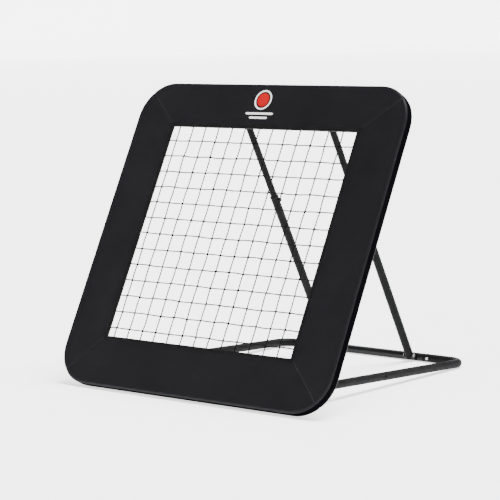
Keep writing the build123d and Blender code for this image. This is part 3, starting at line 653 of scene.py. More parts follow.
@dataclass
class Cover:
    """The padded cover: four mitred sections, their binding, stitching, straps and print."""

    panel: PanelFrame
    palette: Palette
    side_border: float = 0.198
    bottom_border: float = 0.192
    top_border: float = 0.182
    reach: float = 0.190
    corner_radius: float = 0.145
    window_corner: float = 0.002
    pad: float = 0.0085
    band: float = 0.006
    lip: float = 0.0025
    lip_width: float = 0.050
    seam_depth: float = 0.0017
    groove_width: float = 0.0024
    dip: float = 0.0008
    dip_reach: float = 0.016
    pucker: float = 0.00035
    pucker_pitch: float = 0.017
    pucker_reach: float = 0.012
    rim: float = 0.0011
    rim_reach: float = 0.011
    slack: float = 0.0009
    notch_width: float = 0.028
    binding_lap: float = 0.011
    stitch_inset: float = 0.182
    strap_half: float = 0.0125
    strap_thickness: float = 0.0014
    strut_spread: float = 0.4035
    mesh_width: float = 0.0656
    mesh_height: float = 0.0641

    def inset_sizes(self, inset: float) -> tuple[float, float, float, float]:
        """How far the outline stands in at each side, bottom and top, and its corner radius.

        Args:
            inset: Nominal distance in from the outer outline, from 0 to the whole border.

        Returns:
            The side's, the bottom's and the top's distance in, and the radius.
        """
        if inset <= self.lip_width:
            return inset, inset, inset, self.corner_radius - inset
        share = (inset - self.lip_width) / (self.reach - self.lip_width)
        radius = self.corner_radius - self.lip_width
        return (
            inset + (self.side_border - self.reach) * share,
            inset + (self.bottom_border - self.reach) * share,
            inset + (self.top_border - self.reach) * share,
            radius + (self.window_corner - radius) * share,
        )

    def run(self, section: Section, inset: float) -> tuple:
        """Lay out one section's outline at an inset.

        Args:
            section: The section.
            inset: Nominal distance in from the outer outline.

        Returns:
            The centres of its two corners, their radius and the straight length between them.
        """
        side, bottom, top, radius = self.inset_sizes(inset)
        left, right = -self.panel.width / 2 + side + radius, self.panel.width / 2 - side - radius
        low, high = bottom + radius, self.panel.height - top - radius
        corners = [(left, low), (right, low), (right, high), (left, high)]
        start = np.array(corners[section.value])
        end = np.array(corners[(section.value + 1) % 4])
        return start, end, radius, float(np.linalg.norm(end - start))

    def length(self, section: Section, inset: float) -> float:
        """The length of one section's outline at an inset, from mitre to mitre."""
        radius, straight = self.run(section, inset)[2:]
        return straight + radius * math.pi / 2

    def place(self, section: Section, inset: float, along: float) -> tuple[np.ndarray, np.ndarray]:
        """A point on one section's outline, and the way out of the panel there.

        Args:
            section: The section.
            inset: Nominal distance in from the outer outline.
            along: Distance from the section's first mitre.

        Returns:
            The point and the outward direction, both across and up the panel.
        """
        start, end, radius, straight = self.run(section, inset)
        base = math.radians(270 + 90 * section.value)
        quarter = radius * math.pi / 4
        if along < quarter:
            turn, centre, shift = base - math.pi / 4 + along / radius, start, 0.0
        elif along <= quarter + straight:
            turn, centre, shift = base, start, along - quarter
        else:
            turn, centre, shift = base + (along - quarter - straight) / radius, end, 0.0
        out = np.array((math.cos(turn), math.sin(turn)))
        forward = np.array((-math.sin(base), math.cos(base)))
        return centre + out * radius + forward * shift, out

    def stations(self, section: Section, inset: float) -> list[float]:
        """Choose where the section is sampled at an inset: close together by the mitres.

        Args:
            section: The section.
            inset: Nominal distance in from the outer outline.

        Returns:
            Distances from the section's first mitre.
        """
        near = (0.00015, 0.0012, 0.0026, 0.0045, 0.007, 0.011, 0.017, 0.026, 0.038, 0.053,
                0.071, 0.092, 0.115)
        whole = self.length(section, inset)
        middle = np.linspace(near[-1], whole - near[-1], 40)[1:-1]
        return [*near, *middle, *(whole - step for step in reversed(near))]

    def sink(self, section: Section, inset: float, along: float) -> float:
        """Work out how far the filled surface stands in, at seams, by the window and in slack foam.

        Args:
            section: The section.
            inset: Nominal distance in from the outer outline.
            along: Distance from the section's first mitre.

        Returns:
            The distance behind the flat face.
        """
        whole = self.length(section, inset)
        near = min(along, whole - along)
        point, _ = self.place(section, inset, along)
        groove = self.seam_depth * math.exp(-((near / self.groove_width) ** 2))
        groove += self.dip * math.exp(-near / self.dip_reach)
        wave = math.sin(inset * 2 * math.pi / self.pucker_pitch + 2.0 * section.value)
        pucker = self.pucker * wave * math.exp(-near / self.pucker_reach)
        rim = self.rim * math.exp(-(((self.reach - inset) / self.rim_reach) ** 2))
        where = Vector((point[0] * 6.0, point[1] * 6.0, 3.7 * section.value))
        slack = self.slack * (noise.noise(where) + 0.35 * noise.noise(where * 3.1))
        fade = min(1.0, inset / 0.03) * min(1.0, (self.reach - inset) / 0.03 + 0.15)
        return groove + pucker + rim + (slack + 0.0004) * fade

    def profile(self) -> list[tuple[float, float, float, float, int]]:
        """The section's closed cross-section.

        Returns:
            For each point its inset, its depth behind the face, the outward direction as inset
            and depth parts, and its finish: 0 for the vinyl, 1 for the lining, 2 for the band's darker copy
                of the vinyl, which is painted shade on the side that faces away from the light.
        """
        rounding = self.panel.edge_round
        deep = self.panel.thickness
        under = deep - self.lip
        points = []
        for inset in (0.190, 0.188, 0.185, 0.181, 0.176, *np.arange(0.168, 0.015, -0.008), 0.0115):
            points.append((float(inset), 0.0, 0.0, -1.0, 0))
        for turn in np.linspace(0.0, math.pi / 2, 6):
            sine, cosine = math.sin(turn), math.cos(turn)
            points.append((rounding * (1 - sine), rounding * (1 - cosine), -sine, -cosine, 0))
        # The band's faces take slot 2, the darker copy of the vinyl that is painted shade.
        points[-1] = (*points[-1][:4], 2)
        for depth in (0.013, 0.019, 0.025, 0.031):
            points.append((0.0, depth, -1.0, 0.0, 2))
        for turn in np.linspace(0.0, math.pi / 2, 5):
            sine, cosine = math.sin(turn), math.cos(turn)
            points.append((rounding * (1 - cosine), deep - rounding * (1 - sine), -cosine, sine, 0))
        for inset in (0.016, 0.026, 0.036, 0.044, 0.0485):
            points.append((inset, deep, 0.0, 1.0, 0))
        points += [(0.0498, deep - 0.0007, 1.0, 0.0, 0), (0.0498, under + 0.0004, 1.0, 0.0, 1)]
        for inset in (0.0485, 0.036, 0.022, 0.009):
            points.append((inset, under, 0.0, -1.0, 1))
        for depth in (under - 0.002, 0.030, 0.020, 0.012):
            points.append((self.band, depth, 1.0, 0.0, 1))
        for inset in (0.009, 0.020, 0.035, 0.055, 0.080, 0.105, 0.130, 0.155, 0.172, 0.181, 0.1875):
            points.append((inset, self.pad, 0.0, 1.0, 1))
        points += [(0.190, self.pad - 0.0012, 1.0, 0.0, 1), (0.190, 0.0024, 1.0, 0.0, 1)]
        return points

    def build_section(self, section: Section) -> None:
        """Make one padded section, with a groove where it is sewn to its neighbours.

        Args:
            section: The section.
        """
        data = MeshData()
        profile = self.profile()
        points = []
        uvs = []
        for inset, depth, out_inset, out_depth, _ in profile:
            for along in self.stations(section, inset):
                sink = self.sink(section, inset, along) if out_depth < 0 and depth < 0.02 else 0.0
                if out_inset < 0:
                    whole = self.length(section, inset)
                    near = min(along, whole - along)
                    sink = max(sink, self.seam_depth * 0.8 * math.exp(-((near / 0.0032) ** 2)))
                flat, out = self.place(section, inset + out_inset * -sink, along)
                points.append((flat[0], flat[1], -(depth - out_depth * sink)))
                uvs.append((along, inset + depth))
        columns = len(points) // len(profile)
        rows = len(profile)
        faces, corner_uvs, kinds = [], [], []
        for row in range(rows):
            after = (row + 1) % rows
            for column in range(columns - 1):
                loop = (row * columns + column, row * columns + column + 1,
                        after * columns + column + 1, after * columns + column)
                faces.append(loop)
                corner_uvs.append([uvs[index] for index in loop])
                kinds.append(profile[row][4])
        for column in (0, columns - 1):
            loop = [row * columns + column for row in range(rows)]
            faces.append(loop if column else loop[::-1])
            corner_uvs.append([uvs[index] for index in faces[-1]])
            kinds.append(1)
        data.add(np.array(points), faces, corner_uvs, kinds)
        name = section.name.lower()
        piece = data.to_object(f"padded_{name}_section")
        recalculate(piece)
        if section is Section.TOP:
            for side in SIDES.values():
                self.cut_notch(piece, side * self.strut_spread / 2)
        smooth(piece, 38.0)
        piece.data.transform(self.panel.matrix())
        # Slot 2 is the band's darker copy of the vinyl, which is painted shade.
        finishes = [self.palette.get(finish) for finish in (COVER_VINYL, LINING, BAND_PAINTED_SHADE)]
        settle(piece, finishes, "panel")
        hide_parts(f"cover_{name}")

    def cut_notch(self, piece: Piece, across: float) -> None:
        """Cut the slit in the top section's lip that a strut's bracket passes through.

        Args:
            piece: The top section.
            across: Where the bracket is across the panel.
        """
        height = self.panel.height - self.band
        low = self.panel.height - self.lip_width - 0.01
        cutter = block("notch", (across, (height + low) / 2, -self.panel.thickness),
                       (self.notch_width, height - low, 4 * self.lip))
        finish_with(piece, "BOOLEAN", operation="DIFFERENCE", solver="EXACT", object=cutter)
        bpy.data.objects.remove(cutter)

    def build_binding(self) -> None:
        """Make the binding tape that is folded over the window's edge."""
        lap = self.binding_lap
        width = self.panel.width - 2 * self.side_border
        height = self.panel.height - self.bottom_border - self.top_border
        middle = self.bottom_border + height / 2
        deselect()
        bpy.ops.mesh.primitive_plane_add(size=1.0, location=(0.0, middle, 0.0))
        piece = scale_new("window_binding", (width + 2 * lap, height + 2 * lap, 1.0))
        bpy.ops.object.mode_set(mode="EDIT")
        bpy.ops.mesh.select_mode(type="FACE")
        bpy.ops.mesh.select_all(action="SELECT")
        bpy.ops.mesh.inset(thickness=lap, depth=-0.0009)
        bpy.ops.mesh.extrude_region_move(TRANSFORM_OT_translate={"value": (0.0, 0.0, -self.pad + 0.0006)})
        grow = ((width + 2 * lap) / width, (height + 2 * lap) / height, 1.0)
        bpy.ops.mesh.extrude_region_move(TRANSFORM_OT_translate={"value": (0.0, 0.0, -0.0004)})
        bpy.ops.transform.resize(value=grow, center_override=(0.0, middle, 0.0))
        bpy.ops.mesh.delete(type="FACE")
        bpy.ops.mesh.select_all(action="SELECT")
        bpy.ops.mesh.subdivide(number_cuts=1)
        bpy.ops.object.mode_set(mode="OBJECT")
        finish_with(piece, "SOLIDIFY", thickness=0.0010, offset=0.0, use_even_offset=True)
        finish_with(piece, "BEVEL", width=0.0004, segments=2, limit_method="ANGLE")
        smooth(piece, 50.0)
        box_uv(piece)
        piece.data.transform(self.panel.matrix())
        settle(piece, (self.palette.get(BINDING_TAPE),), "panel")

    def surface(self, section: Section, inset: float, along: float, proud: float) -> np.ndarray:
        """Find a point just proud of a section's face.

        Args:
            section: The section.
            inset: Nominal distance in from the outer outline.
            along: Distance from the section's first mitre.
            proud: How far out of the face it is.

        Returns:
            The point, in the panel's axes.
        """
        flat, _ = self.place(section, inset, along)
        return np.array((flat[0], flat[1], proud - self.sink(section, inset, along)))

    def build_stitching(self) -> None:
        """Sew the top stitching, along the window's binding and beside each mitre seam."""
        stitches = StitchRun(length=0.0052, pitch=0.0078, radius=0.00042)
        data = MeshData()
        for section in Section:
            inset = self.stitch_inset
            steps = np.arange(0.008, self.length(section, inset) - 0.008, 0.004)
            row = [self.surface(section, inset, along, 0.0008) for along in steps]
            stitches.follow(data, np.array(row), OUTWARDS)
            for mirrored in (False, True):
                row = []
                for inset in np.arange(0.186, 0.010, -0.004):
                    end = self.length(section, inset)
                    row.append(self.surface(section, inset, end - 0.0058 if mirrored else 0.0058, 0.0003))
                stitches.follow(data, np.array(row), OUTWARDS)
        piece = data.to_object("cover_stitching", self.panel.matrix())
        settle(piece, (self.palette.get(SEWING_THREAD),), "panel")

    def height_at(self, across: float, up: float) -> float:
        """Find the height of the top section's face over a point.

        Args:
            across: How far across the panel it is.
            up: How far up the panel it is.

        Returns:
            The height out of the flat face.
        """
        inset = self.panel.height - up
        share = (inset - self.lip_width) / (self.top_border - self.lip_width)
        nominal = self.lip_width + share * (self.reach - self.lip_width)
        radius, straight = self.run(Section.TOP, nominal)[2:]
        along = radius * math.pi / 4 + straight / 2 - across
        return -self.sink(Section.TOP, nominal, along)

    def print_shape(self, name: str, piece: Piece, finish: Finish) -> None:
        """Lay a flat printed shape on the top section's face and dress it.

        Args:
            name: The piece's name.
            piece: The flat shape.
            finish: Its finish.
        """
        piece.name = name
        for vertex in piece.data.vertices:
            lift = 0.00035 if vertex.co.z > 0 else -0.0002
            vertex.co.z = self.height_at(vertex.co.x, vertex.co.y) + lift
        piece.data.transform(self.panel.matrix())
        settle(piece, (self.palette.get(finish),), "panel")

    def build_print(self) -> None:
        """Make the plain print on the top section: a red disc in a white ring over two white bars."""
        across, up = -0.034, 1.171
        disc = round_print((across, up), 0.0, 0.0275)
        self.print_shape("print_disc", disc, PRINT_RED)
        ring = round_print((across, up), 0.0335, 0.0400)
        self.print_shape("print_ring", ring, PRINT_WHITE)
        for index, (drop, width) in enumerate(((0.056, 0.132), (0.073, 0.086))):
            bar = bar_print((across, up - drop), (width, 0.0085))
            self.print_shape(f"print_bar_{index + 1}", bar, PRINT_WHITE)

    def strap_places(self) -> list[tuple[Section, float]]:
        """List the holding straps.

        Returns:
            Each strap's section and its distance across or up the panel.
        """
        places = []
        for cells in (-5.0, -1.0, 1.0, 5.0):
            places += [(Section.BOTTOM, cells * self.mesh_width), (Section.TOP, cells * self.mesh_width)]
        for cells in (-5.0, -1.5, 1.5, 5.0):
            up = self.panel.height / 2 + cells * self.mesh_height
            places += [(Section.LEFT, up), (Section.RIGHT, up)]
        return places

    def build_straps(self) -> None:
        """Make the webbing straps from the cover's lip down to the back of its pad."""
        data = MeshData()
        deep = self.panel.thickness
        route = [(0.026, deep + 0.0009), (0.036, deep + 0.0010), (0.046, deep + 0.0009),
                 (0.0515, deep - 0.0004), (0.056, deep - 0.0060), (0.064, deep - 0.0175),
                 (0.071, self.pad + 0.0060), (0.077, self.pad + 0.0016), (0.086, self.pad + 0.0010),
                 (0.098, self.pad + 0.0010)]
        for section, place in self.strap_places():
            add_strap(data, [self.on_back(section, place, inset) for inset, _ in route],
                      [depth for _, depth in route], self.sideways(section), self.strap_half,
                      self.strap_thickness)
        piece = data.to_object("lip_straps")
        recalculate(piece)
        smooth(piece, 40.0)
        piece.data.transform(self.panel.matrix())
        settle(piece, (self.palette.get(WEBBING),), "panel")
        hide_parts("cover_straps")

    def on_back(self, section: Section, place: float, inset: float) -> tuple[float, float]:
        """Find a point at a true distance in from one edge.

        Args:
            section: The edge's section.
            place: How far along the edge it is.
            inset: How far in from the edge it is.

        Returns:
            The point, across and up the panel.
        """
        if section is Section.BOTTOM:
            return place, inset
        if section is Section.TOP:
            return place, self.panel.height - inset
        edge = self.panel.width / 2 - inset
        return (edge if section is Section.RIGHT else -edge), place

    def sideways(self, section: Section) -> tuple[float, float]:
        """The direction along one edge."""
        return (1.0, 0.0) if section in (Section.BOTTOM, Section.TOP) else (0.0, 1.0)

    def build(self) -> None:
        """Make the whole cover."""
        for section in Section:
            self.build_section(section)
        self.build_binding()
        self.build_stitching()
        self.build_print()
        self.build_straps()


@dataclass(frozen=True)
class StitchRun:
    """A row of short thread stitches."""

    length: float
    pitch: float
    radius: float

    def follow(self, data: MeshData, row: np.ndarray, up: tuple[float, float, float]) -> None:
        """Lay stitches along a row of points.

        Args:
            data: The mesh that gets them.
            row: The row's points.
            up: The way out of the cloth.
        """
        reach = distances(row)
        lift = np.array(up)
        start = self.pitch / 2
        while start + self.length < reach[-1]:
            ends = [np.array([np.interp(at, reach, row[:, axis]) for axis in range(3)])
                    for at in (start, start + self.length)]
            middle = (ends[0] + ends[1]) / 2 + lift * self.radius * 0.8
            path = np.array([ends[0] - lift * self.radius, middle, ends[1] - lift * self.radius])
            add_tube(data, path, self.radius, 5)
            start += self.pitch


def add_strap(data: MeshData, route: list, depths: list, sideways: tuple, half: float,
              thick: float) -> None:
    """Add a flat strap along a route.

    Args:
        data: The mesh that gets it.
        route: Points across and up the panel.
        depths: Each point's depth behind the face.
        sideways: The direction of the strap's width.
        half: Half its width.
        thick: Its thickness.
    """
    line = np.array([(x, y, -depth) for (x, y), depth in zip(route, depths)])
    across = np.array((*sideways, 0.0))
    tangents = np.gradient(line, axis=0)
    normals = np.cross(tangents, across)
    normals = normals / np.linalg.norm(normals, axis=1, keepdims=True)
    bevel = 0.18 * thick
    shape = [(-half, -1), (-half + bevel, -1.3), (half - bevel, -1.3), (half, -1), (half, 1),
             (half - bevel, 1.3), (-half + bevel, 1.3), (-half, 1)]
    rings = [[point + across * x + normal * (y * thick / 2.6) for x, y in shape]
             for point, normal in zip(line, normals)]
    sides = len(shape)
    turns = [(shape[side][0], shape[(side + 1) % sides][0]) for side in range(sides)]
    faces, uvs = strip(distances(line), turns, False)
    for ring in (0, len(line) - 1):
        faces.append(tuple(ring * sides + side for side in range(sides)))
        uvs.append(((0.0, 0.0),) * sides)
    data.add(np.array(rings).reshape(-1, 3), faces, uvs)


def smooth(piece: Piece, degrees: float) -> None:
    """Shade a piece smooth, apart from edges sharper than an angle.

    Args:
        piece: The piece.
        degrees: The angle.
    """
    choose(piece)
    bpy.ops.object.shade_smooth_by_angle(angle=math.radians(degrees))
    deselect()


def finish_with(piece: Piece, kind: str, **settings: object) -> None:
    """Put one modifier on a piece and apply it.

    Args:
        piece: The piece.
        kind: The modifier's type.
        **settings: Its settings.
    """
    choose(piece)
    modifier = piece.modifiers.new(kind.lower(), kind)
    for name, value in settings.items():
        setattr(modifier, name, value)
    bpy.ops.object.modifier_apply(modifier=modifier.name)
    deselect()


def box_uv(piece: Piece) -> None:
    """Give a piece a UV map in metres, projected along each face's main direction.

    Args:
        piece: The piece.
    """
    layer = piece.data.uv_layers.active or piece.data.uv_layers.new(name="UVMap")
    for polygon in piece.data.polygons:
        main = max(range(3), key=lambda axis: abs(polygon.normal[axis]))
        first, second = [axis for axis in range(3) if axis != main]
        for index in polygon.loop_indices:
            point = piece.data.vertices[piece.data.loops[index].vertex_index].co
            layer.data[index].uv = (point[first], point[second])


def scale_new(name: str, size: Sequence[float]) -> Piece:
    """Name the primitive that was just added, and scale it with its place put into its mesh.

    Args:
        name: Its name.
        size: Its scale along each axis.

    Returns:
        The piece.
    """
    piece = bpy.context.object
    piece.name = name
    piece.scale = size
    bpy.ops.object.transform_apply(location=True, rotation=True, scale=True)
    return piece


def block(name: str, centre: Sequence[float], size: Sequence[float]) -> Piece:
    """Add a box, with its place in its mesh.

    Args:
        name: Its name.
        centre: Its middle.
        size: Its length along each axis.

    Returns:
        The box.
    """
    deselect()
    bpy.ops.mesh.primitive_cube_add(size=1.0, location=centre)
    return scale_new(name, size)


def thicken_print(piece: Piece) -> Piece:
    """Give a flat printed shape its thickness.

    Args:
        piece: The shape, in edit mode.

    Returns:
        The same piece, out of edit mode.
    """
    bpy.ops.mesh.select_all(action="SELECT")
    bpy.ops.mesh.extrude_region_move(TRANSFORM_OT_translate={"value": (0.0, 0.0, PRINT_THICKNESS)})
    bpy.ops.object.mode_set(mode="OBJECT")
    recalculate(piece)
    return piece


def round_print(centre: tuple[float, float], inner: float, outer: float) -> Piece:
    """Make a thin printed disc, or a ring where it has an inner radius.

    Args:
        centre: Its middle, across and up the panel.
        inner: Its inner radius, or nought.
        outer: Its outer radius.

    Returns:
        The flat shape.
    """
    deselect()
    bpy.ops.mesh.primitive_circle_add(vertices=64, radius=outer, fill_type="NGON", location=(*centre, 0.0))
    piece = scale_new("print", (1.0, 1.0, 1.0))
    bpy.ops.object.mode_set(mode="EDIT")
    bpy.ops.mesh.select_mode(type="FACE")
    bpy.ops.mesh.select_all(action="SELECT")
    rings = 5
    if inner:
        bpy.ops.mesh.inset(thickness=outer - inner)
        bpy.ops.mesh.delete(type="FACE")
    else:
        for _ in range(rings):
            bpy.ops.mesh.inset(thickness=outer / (rings + 1))
    return thicken_print(piece)


def bar_print(centre: tuple[float, float], size: tuple[float, float]) -> Piece:
    """Make a thin printed bar with rounded ends.

    Args:
        centre: Its middle, across and up the panel.
        size: Its length and its width.

    Returns:
        The flat shape.
    """
    deselect()
    bpy.ops.mesh.primitive_grid_add(x_subdivisions=24, y_subdivisions=3, size=1.0, location=(*centre, 0.0))
    piece = scale_new("print", (*size, 1.0))
    half_x, half_y = size[0] / 2, size[1] / 2
    for vertex in piece.data.vertices:
        off = abs(vertex.co.x - centre[0]) - (half_x - half_y)
        if off > 0:
            rise = math.sqrt(max(0.0, 1.0 - (off / half_y) ** 2))
            vertex.co.y = centre[1] + (vertex.co.y - centre[1]) * max(rise, 0.35)
    bpy.ops.object.mode_set(mode="EDIT")
    return thicken_print(piece)


# ------------------------------------------------------------------------------ the net
@dataclass
class Net:
    """The knotted net, its border cord and the elastic loops that hold it."""

    panel: PanelFrame
    palette: Palette
    columns: int = 17
    rows: int = 16
    mesh_width: float = 0.0656
    mesh_height: float = 0.0641
    twine_radius: float = 0.0023
    border_radius: float = 0.003
    border_corner: float = 0.030
    border_step: float = 0.0035
    border_sides: int = 12
    border_lay: float = 0.030
    elastic_radius: float = 0.0025
    hook_reach: float = 0.010
    hook_radius: float = 0.0046
    knot_size: float = 0.0012
    knot_radius: float = 0.0017
    slip: float = 0.0014
    seed: int = 41

    def __post_init__(self) -> None:
        """Settle where every knot is tied."""
        self.half_width = self.columns * self.mesh_width / 2
        self.half_height = self.rows * self.mesh_height / 2
        self.middle = self.panel.height / 2
        self.level = -self.panel.tube_depth
        self.draw = random.Random(self.seed)
        self.knots = {}
        for column in range(self.columns + 1):
            for row in range(self.rows + 1):
                inside = 0 < column < self.columns and 0 < row < self.rows
                slip = self.slip if inside else 0.0
                self.knots[column, row] = np.array((
                    column * self.mesh_width - self.half_width + self.draw.uniform(-slip, slip),
                    self.middle + row * self.mesh_height - self.half_height + self.draw.uniform(-slip, slip),
                    self.level + self.draw.uniform(-slip, slip),
                ))

    def strand(self, stops: list[tuple[int, int]]) -> np.ndarray:
        """Lead one strand through its knots, each leg of it slightly bowed.

        Args:
            stops: The columns and rows of its knots.

        Returns:
            Its centre line.
        """
        path = [self.knots[stops[0]]]
        for first, second in zip(stops, stops[1:]):
            start, end = self.knots[first], self.knots[second]
            side = np.cross(end - start, OUTWARDS)
            side = side / np.linalg.norm(side)
            bow = self.draw.gauss(0.0, 0.0009)
            drop = self.draw.gauss(0.0, 0.0006)
            for share in (0.25, 0.5, 0.75, 1.0):
                swell = math.sin(math.pi * share)
                sag = np.array((0, 0, drop * swell))
                path.append(start + (end - start) * share + side * bow * swell + sag)
        return np.array(path)

    def build_mesh(self) -> None:
        """Make all strands, with a knot where they cross and a turn round the border cord."""
        data = MeshData()
        stops = [[(column, row) for row in range(self.rows + 1)] for column in range(1, self.columns)]
        stops += [[(column, row) for column in range(self.columns + 1)] for row in range(1, self.rows)]
        for strand in stops:
            add_tube(data, self.strand(strand), self.twine_radius, 6)
        turns = np.linspace(0.0, 2 * math.pi, 14, endpoint=False)
        knot = np.stack((np.sin(turns) + 2 * np.sin(2 * turns), np.cos(turns) - 2 * np.cos(2 * turns),
                         -np.sin(3 * turns)), axis=1)
        for (column, row), centre in self.knots.items():
            spin = self.draw.uniform(0.0, 2 * math.pi)
            turn = np.array(Matrix.Rotation(spin, 3, "Z"))
            across = column in (0, self.columns)
            along = row in (0, self.rows)
            if not across and not along:
                size = self.knot_size * self.draw.uniform(0.9, 1.12)
                loop = centre + (knot * size) @ turn.T * (1.0, 1.0, 1.6)
                add_tube(data, loop, self.knot_radius, 5, closed=True)
            elif across != along:
                self.add_lashing(data, centre, along)
        piece = data.to_object("knotted_net", self.panel.matrix())
        settle(piece, (self.palette.get(NET_TWINE),), "panel")
        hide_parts("net")

    def add_lashing(self, data: MeshData, centre: np.ndarray, along: bool) -> None:
        """Two turns of twine round the border cord where a strand ends.

        Args:
            data: The mesh that gets it.
            centre: The middle of the cord there.
            along: Whether the cord runs across the panel there.
        """
        axis = np.array((1.0, 0.0, 0.0) if along else (0.0, 1.0, 0.0))
        side = np.cross(axis, OUTWARDS)
        turns = np.linspace(0.0, 4 * math.pi, 17)
        radius = self.border_radius + 0.6 * self.twine_radius
        path = [centre + axis * 0.0023 * (turn / (2 * math.pi) - 1) + side * radius * math.cos(turn)
                + np.array((0.0, 0.0, radius * math.sin(turn))) for turn in turns]
        add_tube(data, np.array(path), self.twine_radius, 5)

    def border_path(self, step: float) -> np.ndarray:
        """Lay out the border cord.

        Args:
            step: The distance between its points.

        Returns:
            Its centre line.
        """
        points = []
        corner = self.border_corner
        for index, (x, y) in enumerate(((1, 1), (-1, 1), (-1, -1), (1, -1))):
            centre = np.array((x * (self.half_width - corner), self.middle + y * (self.half_height - corner)))
            for turn in np.linspace(0.0, math.pi / 2, 12):
                angle = index * math.pi / 2 + turn
                points.append(centre + corner * np.array((math.cos(angle), math.sin(angle))))
        points = np.array([*points, points[0]])
        reach = distances(points)
        at = np.linspace(0.0, reach[-1], int(reach[-1] / step), endpoint=False)
        flat = np.stack([np.interp(at, reach, points[:, axis]) for axis in range(2)], axis=1)
        return np.column_stack((flat, np.full(len(flat), self.level)))

    def build_border(self) -> None:
        """Make the laid border cord: three strands that twist round each other."""
        data = MeshData()
        step, sides = self.border_step, self.border_sides
        path = self.border_path(step)
        count = len(path)
        rings = tube_rings(path, 1.0, sides, closed=True)
        pitch = count * step / round(count * step / self.border_lay)
        centre = path[:, None, :]
        turns = np.arange(sides) * 2 * math.pi / sides
        phase = np.arange(count) * step / pitch * 2 * math.pi
        lobes = np.abs(np.cos(1.5 * (turns[None, :] - phase[:, None])))
        shaped = centre + (rings - centre) * (self.border_radius * (0.80 + 0.24 * lobes))[..., None]
        parts = [(side / sides, (side + 1) / sides) for side in range(sides)]
        data.add(shaped.reshape(-1, 3), *strip([ring * step for ring in range(count + 1)], parts, True))
        piece = data.to_object("border_rope")
        recalculate(piece)
        piece.data.transform(self.panel.matrix())
        settle(piece, (self.palette.get(BORDER_CORD),), "panel")
        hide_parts("net_border_cord")

    def hook_places(self) -> list[tuple[np.ndarray, np.ndarray, float]]:
        """List the elastic loops.

        Returns:
            For each loop the point on the tube, the way to the net and the space between.
        """
        panel = self.panel
        bend = 0.145 - panel.tube_inset
        reach_up = panel.height / 2 - panel.tube_inset - panel.tube_radius
        reach_across = panel.width / 2 - panel.tube_inset - panel.tube_radius
        places = []
        for half_cells in range(-self.columns, self.columns + 1):
            across = half_cells * self.mesh_width / 2
            if (half_cells - self.columns) % 2 == 0 or (half_cells // 2) % 2:
                continue
            if abs(across) < reach_across - bend:
                for up in (-1, 1):
                    point = np.array((across, self.middle + up * reach_up, self.level))
                    places.append((point, np.array((0.0, -up, 0.0)), reach_up - self.half_height))
        for step in range(0, self.rows // 2, 2):
            up = (0.5 + self.rows % 2 / 2 + step) * self.mesh_height
            if up < reach_up - bend:
                for sign in (-1, 1):
                    for across in (-1, 1):
                        point = np.array((across * reach_across, self.middle + sign * up, self.level))
                        places.append((point, np.array((-across, 0.0, 0.0)), reach_across - self.half_width))
        return places

    def build_loops(self) -> None:
        """Make the elastic loops between the hooks and the border cord."""
        data = MeshData()
        near, far = self.hook_radius, self.border_radius + self.elastic_radius + 0.0005
        for point, inward, gap in self.hook_places():
            start = point + inward * self.hook_reach
            run = gap - self.hook_reach
            path = []
            for turn in np.linspace(math.pi / 2, 3 * math.pi / 2, 9):
                rise = np.array((0, 0, near * math.sin(turn)))
                path.append(start + inward * (near * math.cos(turn)) + rise)
            for turn in np.linspace(-math.pi / 2, math.pi / 2, 11):
                rise = np.array((0, 0, far * math.sin(turn)))
                path.append(start + inward * (run + far * math.cos(turn)) + rise)
            add_tube(data, np.array(path), self.elastic_radius, 10, closed=True)
        piece = data.to_object("elastic_loops", self.panel.matrix())
        settle(piece, (self.palette.get(ELASTIC),), "panel")
        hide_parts("bungee_loops")

    def build(self) -> None:
        """Make the whole net."""
        self.build_mesh()
        self.build_border()
        self.build_loops()


# ------------------------------------------------------------------------------ tubes and hardware
@dataclass
class Structure:
    """The tubes, brackets, plugs and hardware, which keep their own shapes and get finishes."""

    palette: Palette
    nodes: dict[str, Piece]

    def finish_for(self, name: str) -> Finish:
        """Choose a node's finish from its name.

        Args:
            name: The node's name.

        Returns:
            The finish.
        """
        if name == "arm_joint_screws":
            return SATIN_COAT
        if any(word in name for word in ("bolt", "nut", "screw", "hook", "stud")):
            return ZINC
        if any(word in name for word in ("plug", "bush", "glide", "knob", "eye")):
            return BLACK_PLASTIC
        if "strut" in name or "arm" in name or "corner" in name:
            return SATIN_COAT
        return POWDER_COAT

    def dress(self) -> None:
        """Give every node its finish."""
        for name, node in self.nodes.items():
            material = self.palette.get(self.finish_for(name))
            node.data.materials.clear()
            node.data.materials.append(material)
            log.info("%s: %s", name, material.name)


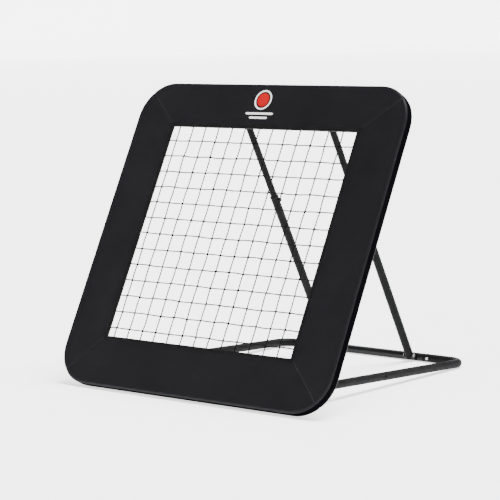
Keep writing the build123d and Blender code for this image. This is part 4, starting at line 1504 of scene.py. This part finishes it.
# ------------------------------------------------------------------------------ the studio
@dataclass
class Studio:
    """The floor, the lights and the camera."""

    palette: Palette
    turn: float = math.radians(40.034)
    rise: float = math.radians(6.827)
    roll: float = -0.01795
    distance: float = 7.45115
    target: tuple[float, float, float] = (0.0, -0.1928, 0.51471)
    sensor: float = 36.0
    lens: float = 144.64
    shift: tuple[float, float] = (0.0026, -0.0040)
    floor_size: float = 140.0
    wall_radius: float = 60.0
    wall_height: float = 8.0
    surround: float = 0.35

    def build_camera(self) -> None:
        """A long lens, low and to the right of the front."""
        back = Vector((math.sin(self.turn) * math.cos(self.rise), -math.cos(self.turn) * math.cos(self.rise),
                       math.sin(self.rise)))
        right = (-back).cross(Vector((0.0, 0.0, 1.0))).normalized()
        up = right.cross(-back)
        cosine, sine = math.cos(self.roll), math.sin(self.roll)
        tilted_right = right * cosine + up * sine
        tilted_up = up * cosine - right * sine
        place = Vector(self.target) + back * self.distance
        camera = bpy.data.cameras.new("camera")
        camera.sensor_width = self.sensor
        camera.lens = self.lens
        camera.shift_x, camera.shift_y = self.shift
        camera.clip_end = 200.0
        holder = bpy.data.objects.new("camera", camera)
        axes = Matrix((tilted_right, tilted_up, back)).transposed()
        holder.matrix_world = Matrix.Translation(place) @ axes.to_4x4()
        bpy.context.scene.collection.objects.link(holder)
        bpy.context.scene.camera = holder

    def build_floor(self) -> None:
        """A wide pale floor inside a low pale wall, far off, that is as bright as the floor."""
        deselect()
        bpy.ops.mesh.primitive_plane_add(size=self.floor_size, location=(0.0, 0.0, 0.0))
        floor = bpy.context.object
        floor.name = "studio_floor"
        floor.data.materials.append(self.palette.get(FLOOR_FINISH))
        deselect()
        bpy.ops.mesh.primitive_cylinder_add(vertices=96, radius=self.wall_radius, depth=self.wall_height,
                                            end_fill_type="NOTHING",
                                            location=(0.0, 0.0, self.wall_height / 2))
        wall = bpy.context.object
        wall.name = "studio_wall"
        wall.data.materials.append(self.palette.get(WALL_FINISH))

    def build_lights(self) -> None:
        """A wide soft light overhead and two weaker ones, in a dim surround."""
        lamps = (
            ("overhead", (0.6, 1.0, 3.0), 34.0, 11.0),
            ("front", (0.8, -3.6, 2.0), 40.0, 1.2),
            ("left", (-3.0, 1.6, 2.0), 40.0, 1.0),
        )
        for name, place, spread, strength in lamps:
            light = bpy.data.lights.new(name, "SUN")
            light.angle = math.radians(spread)
            light.energy = strength
            lamp = bpy.data.objects.new(name, light)
            lamp.location = place
            lamp.rotation_euler = (-Vector(place)).to_track_quat("-Z", "Y").to_euler()
            bpy.context.scene.collection.objects.link(lamp)
        world = bpy.data.worlds.new("studio")
        world.use_nodes = True
        background = world.node_tree.nodes["Background"]
        background.inputs["Color"].default_value = (1.0, 1.0, 1.0, 1.0)
        background.inputs["Strength"].default_value = self.surround
        bpy.context.scene.world = world


def main() -> None:
    """Build the camera, the studio and every piece."""
    logging.basicConfig(level=logging.INFO, format="%(message)s")
    palette = Palette()
    panel = PanelFrame()
    studio = Studio(palette)
    studio.build_camera()
    studio.build_floor()
    studio.build_lights()
    Structure(palette, frame["nodes"]).dress()
    Cover(panel, palette).build()
    Net(panel, palette).build()
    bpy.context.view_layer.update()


if __name__ == "__main__":
    main()
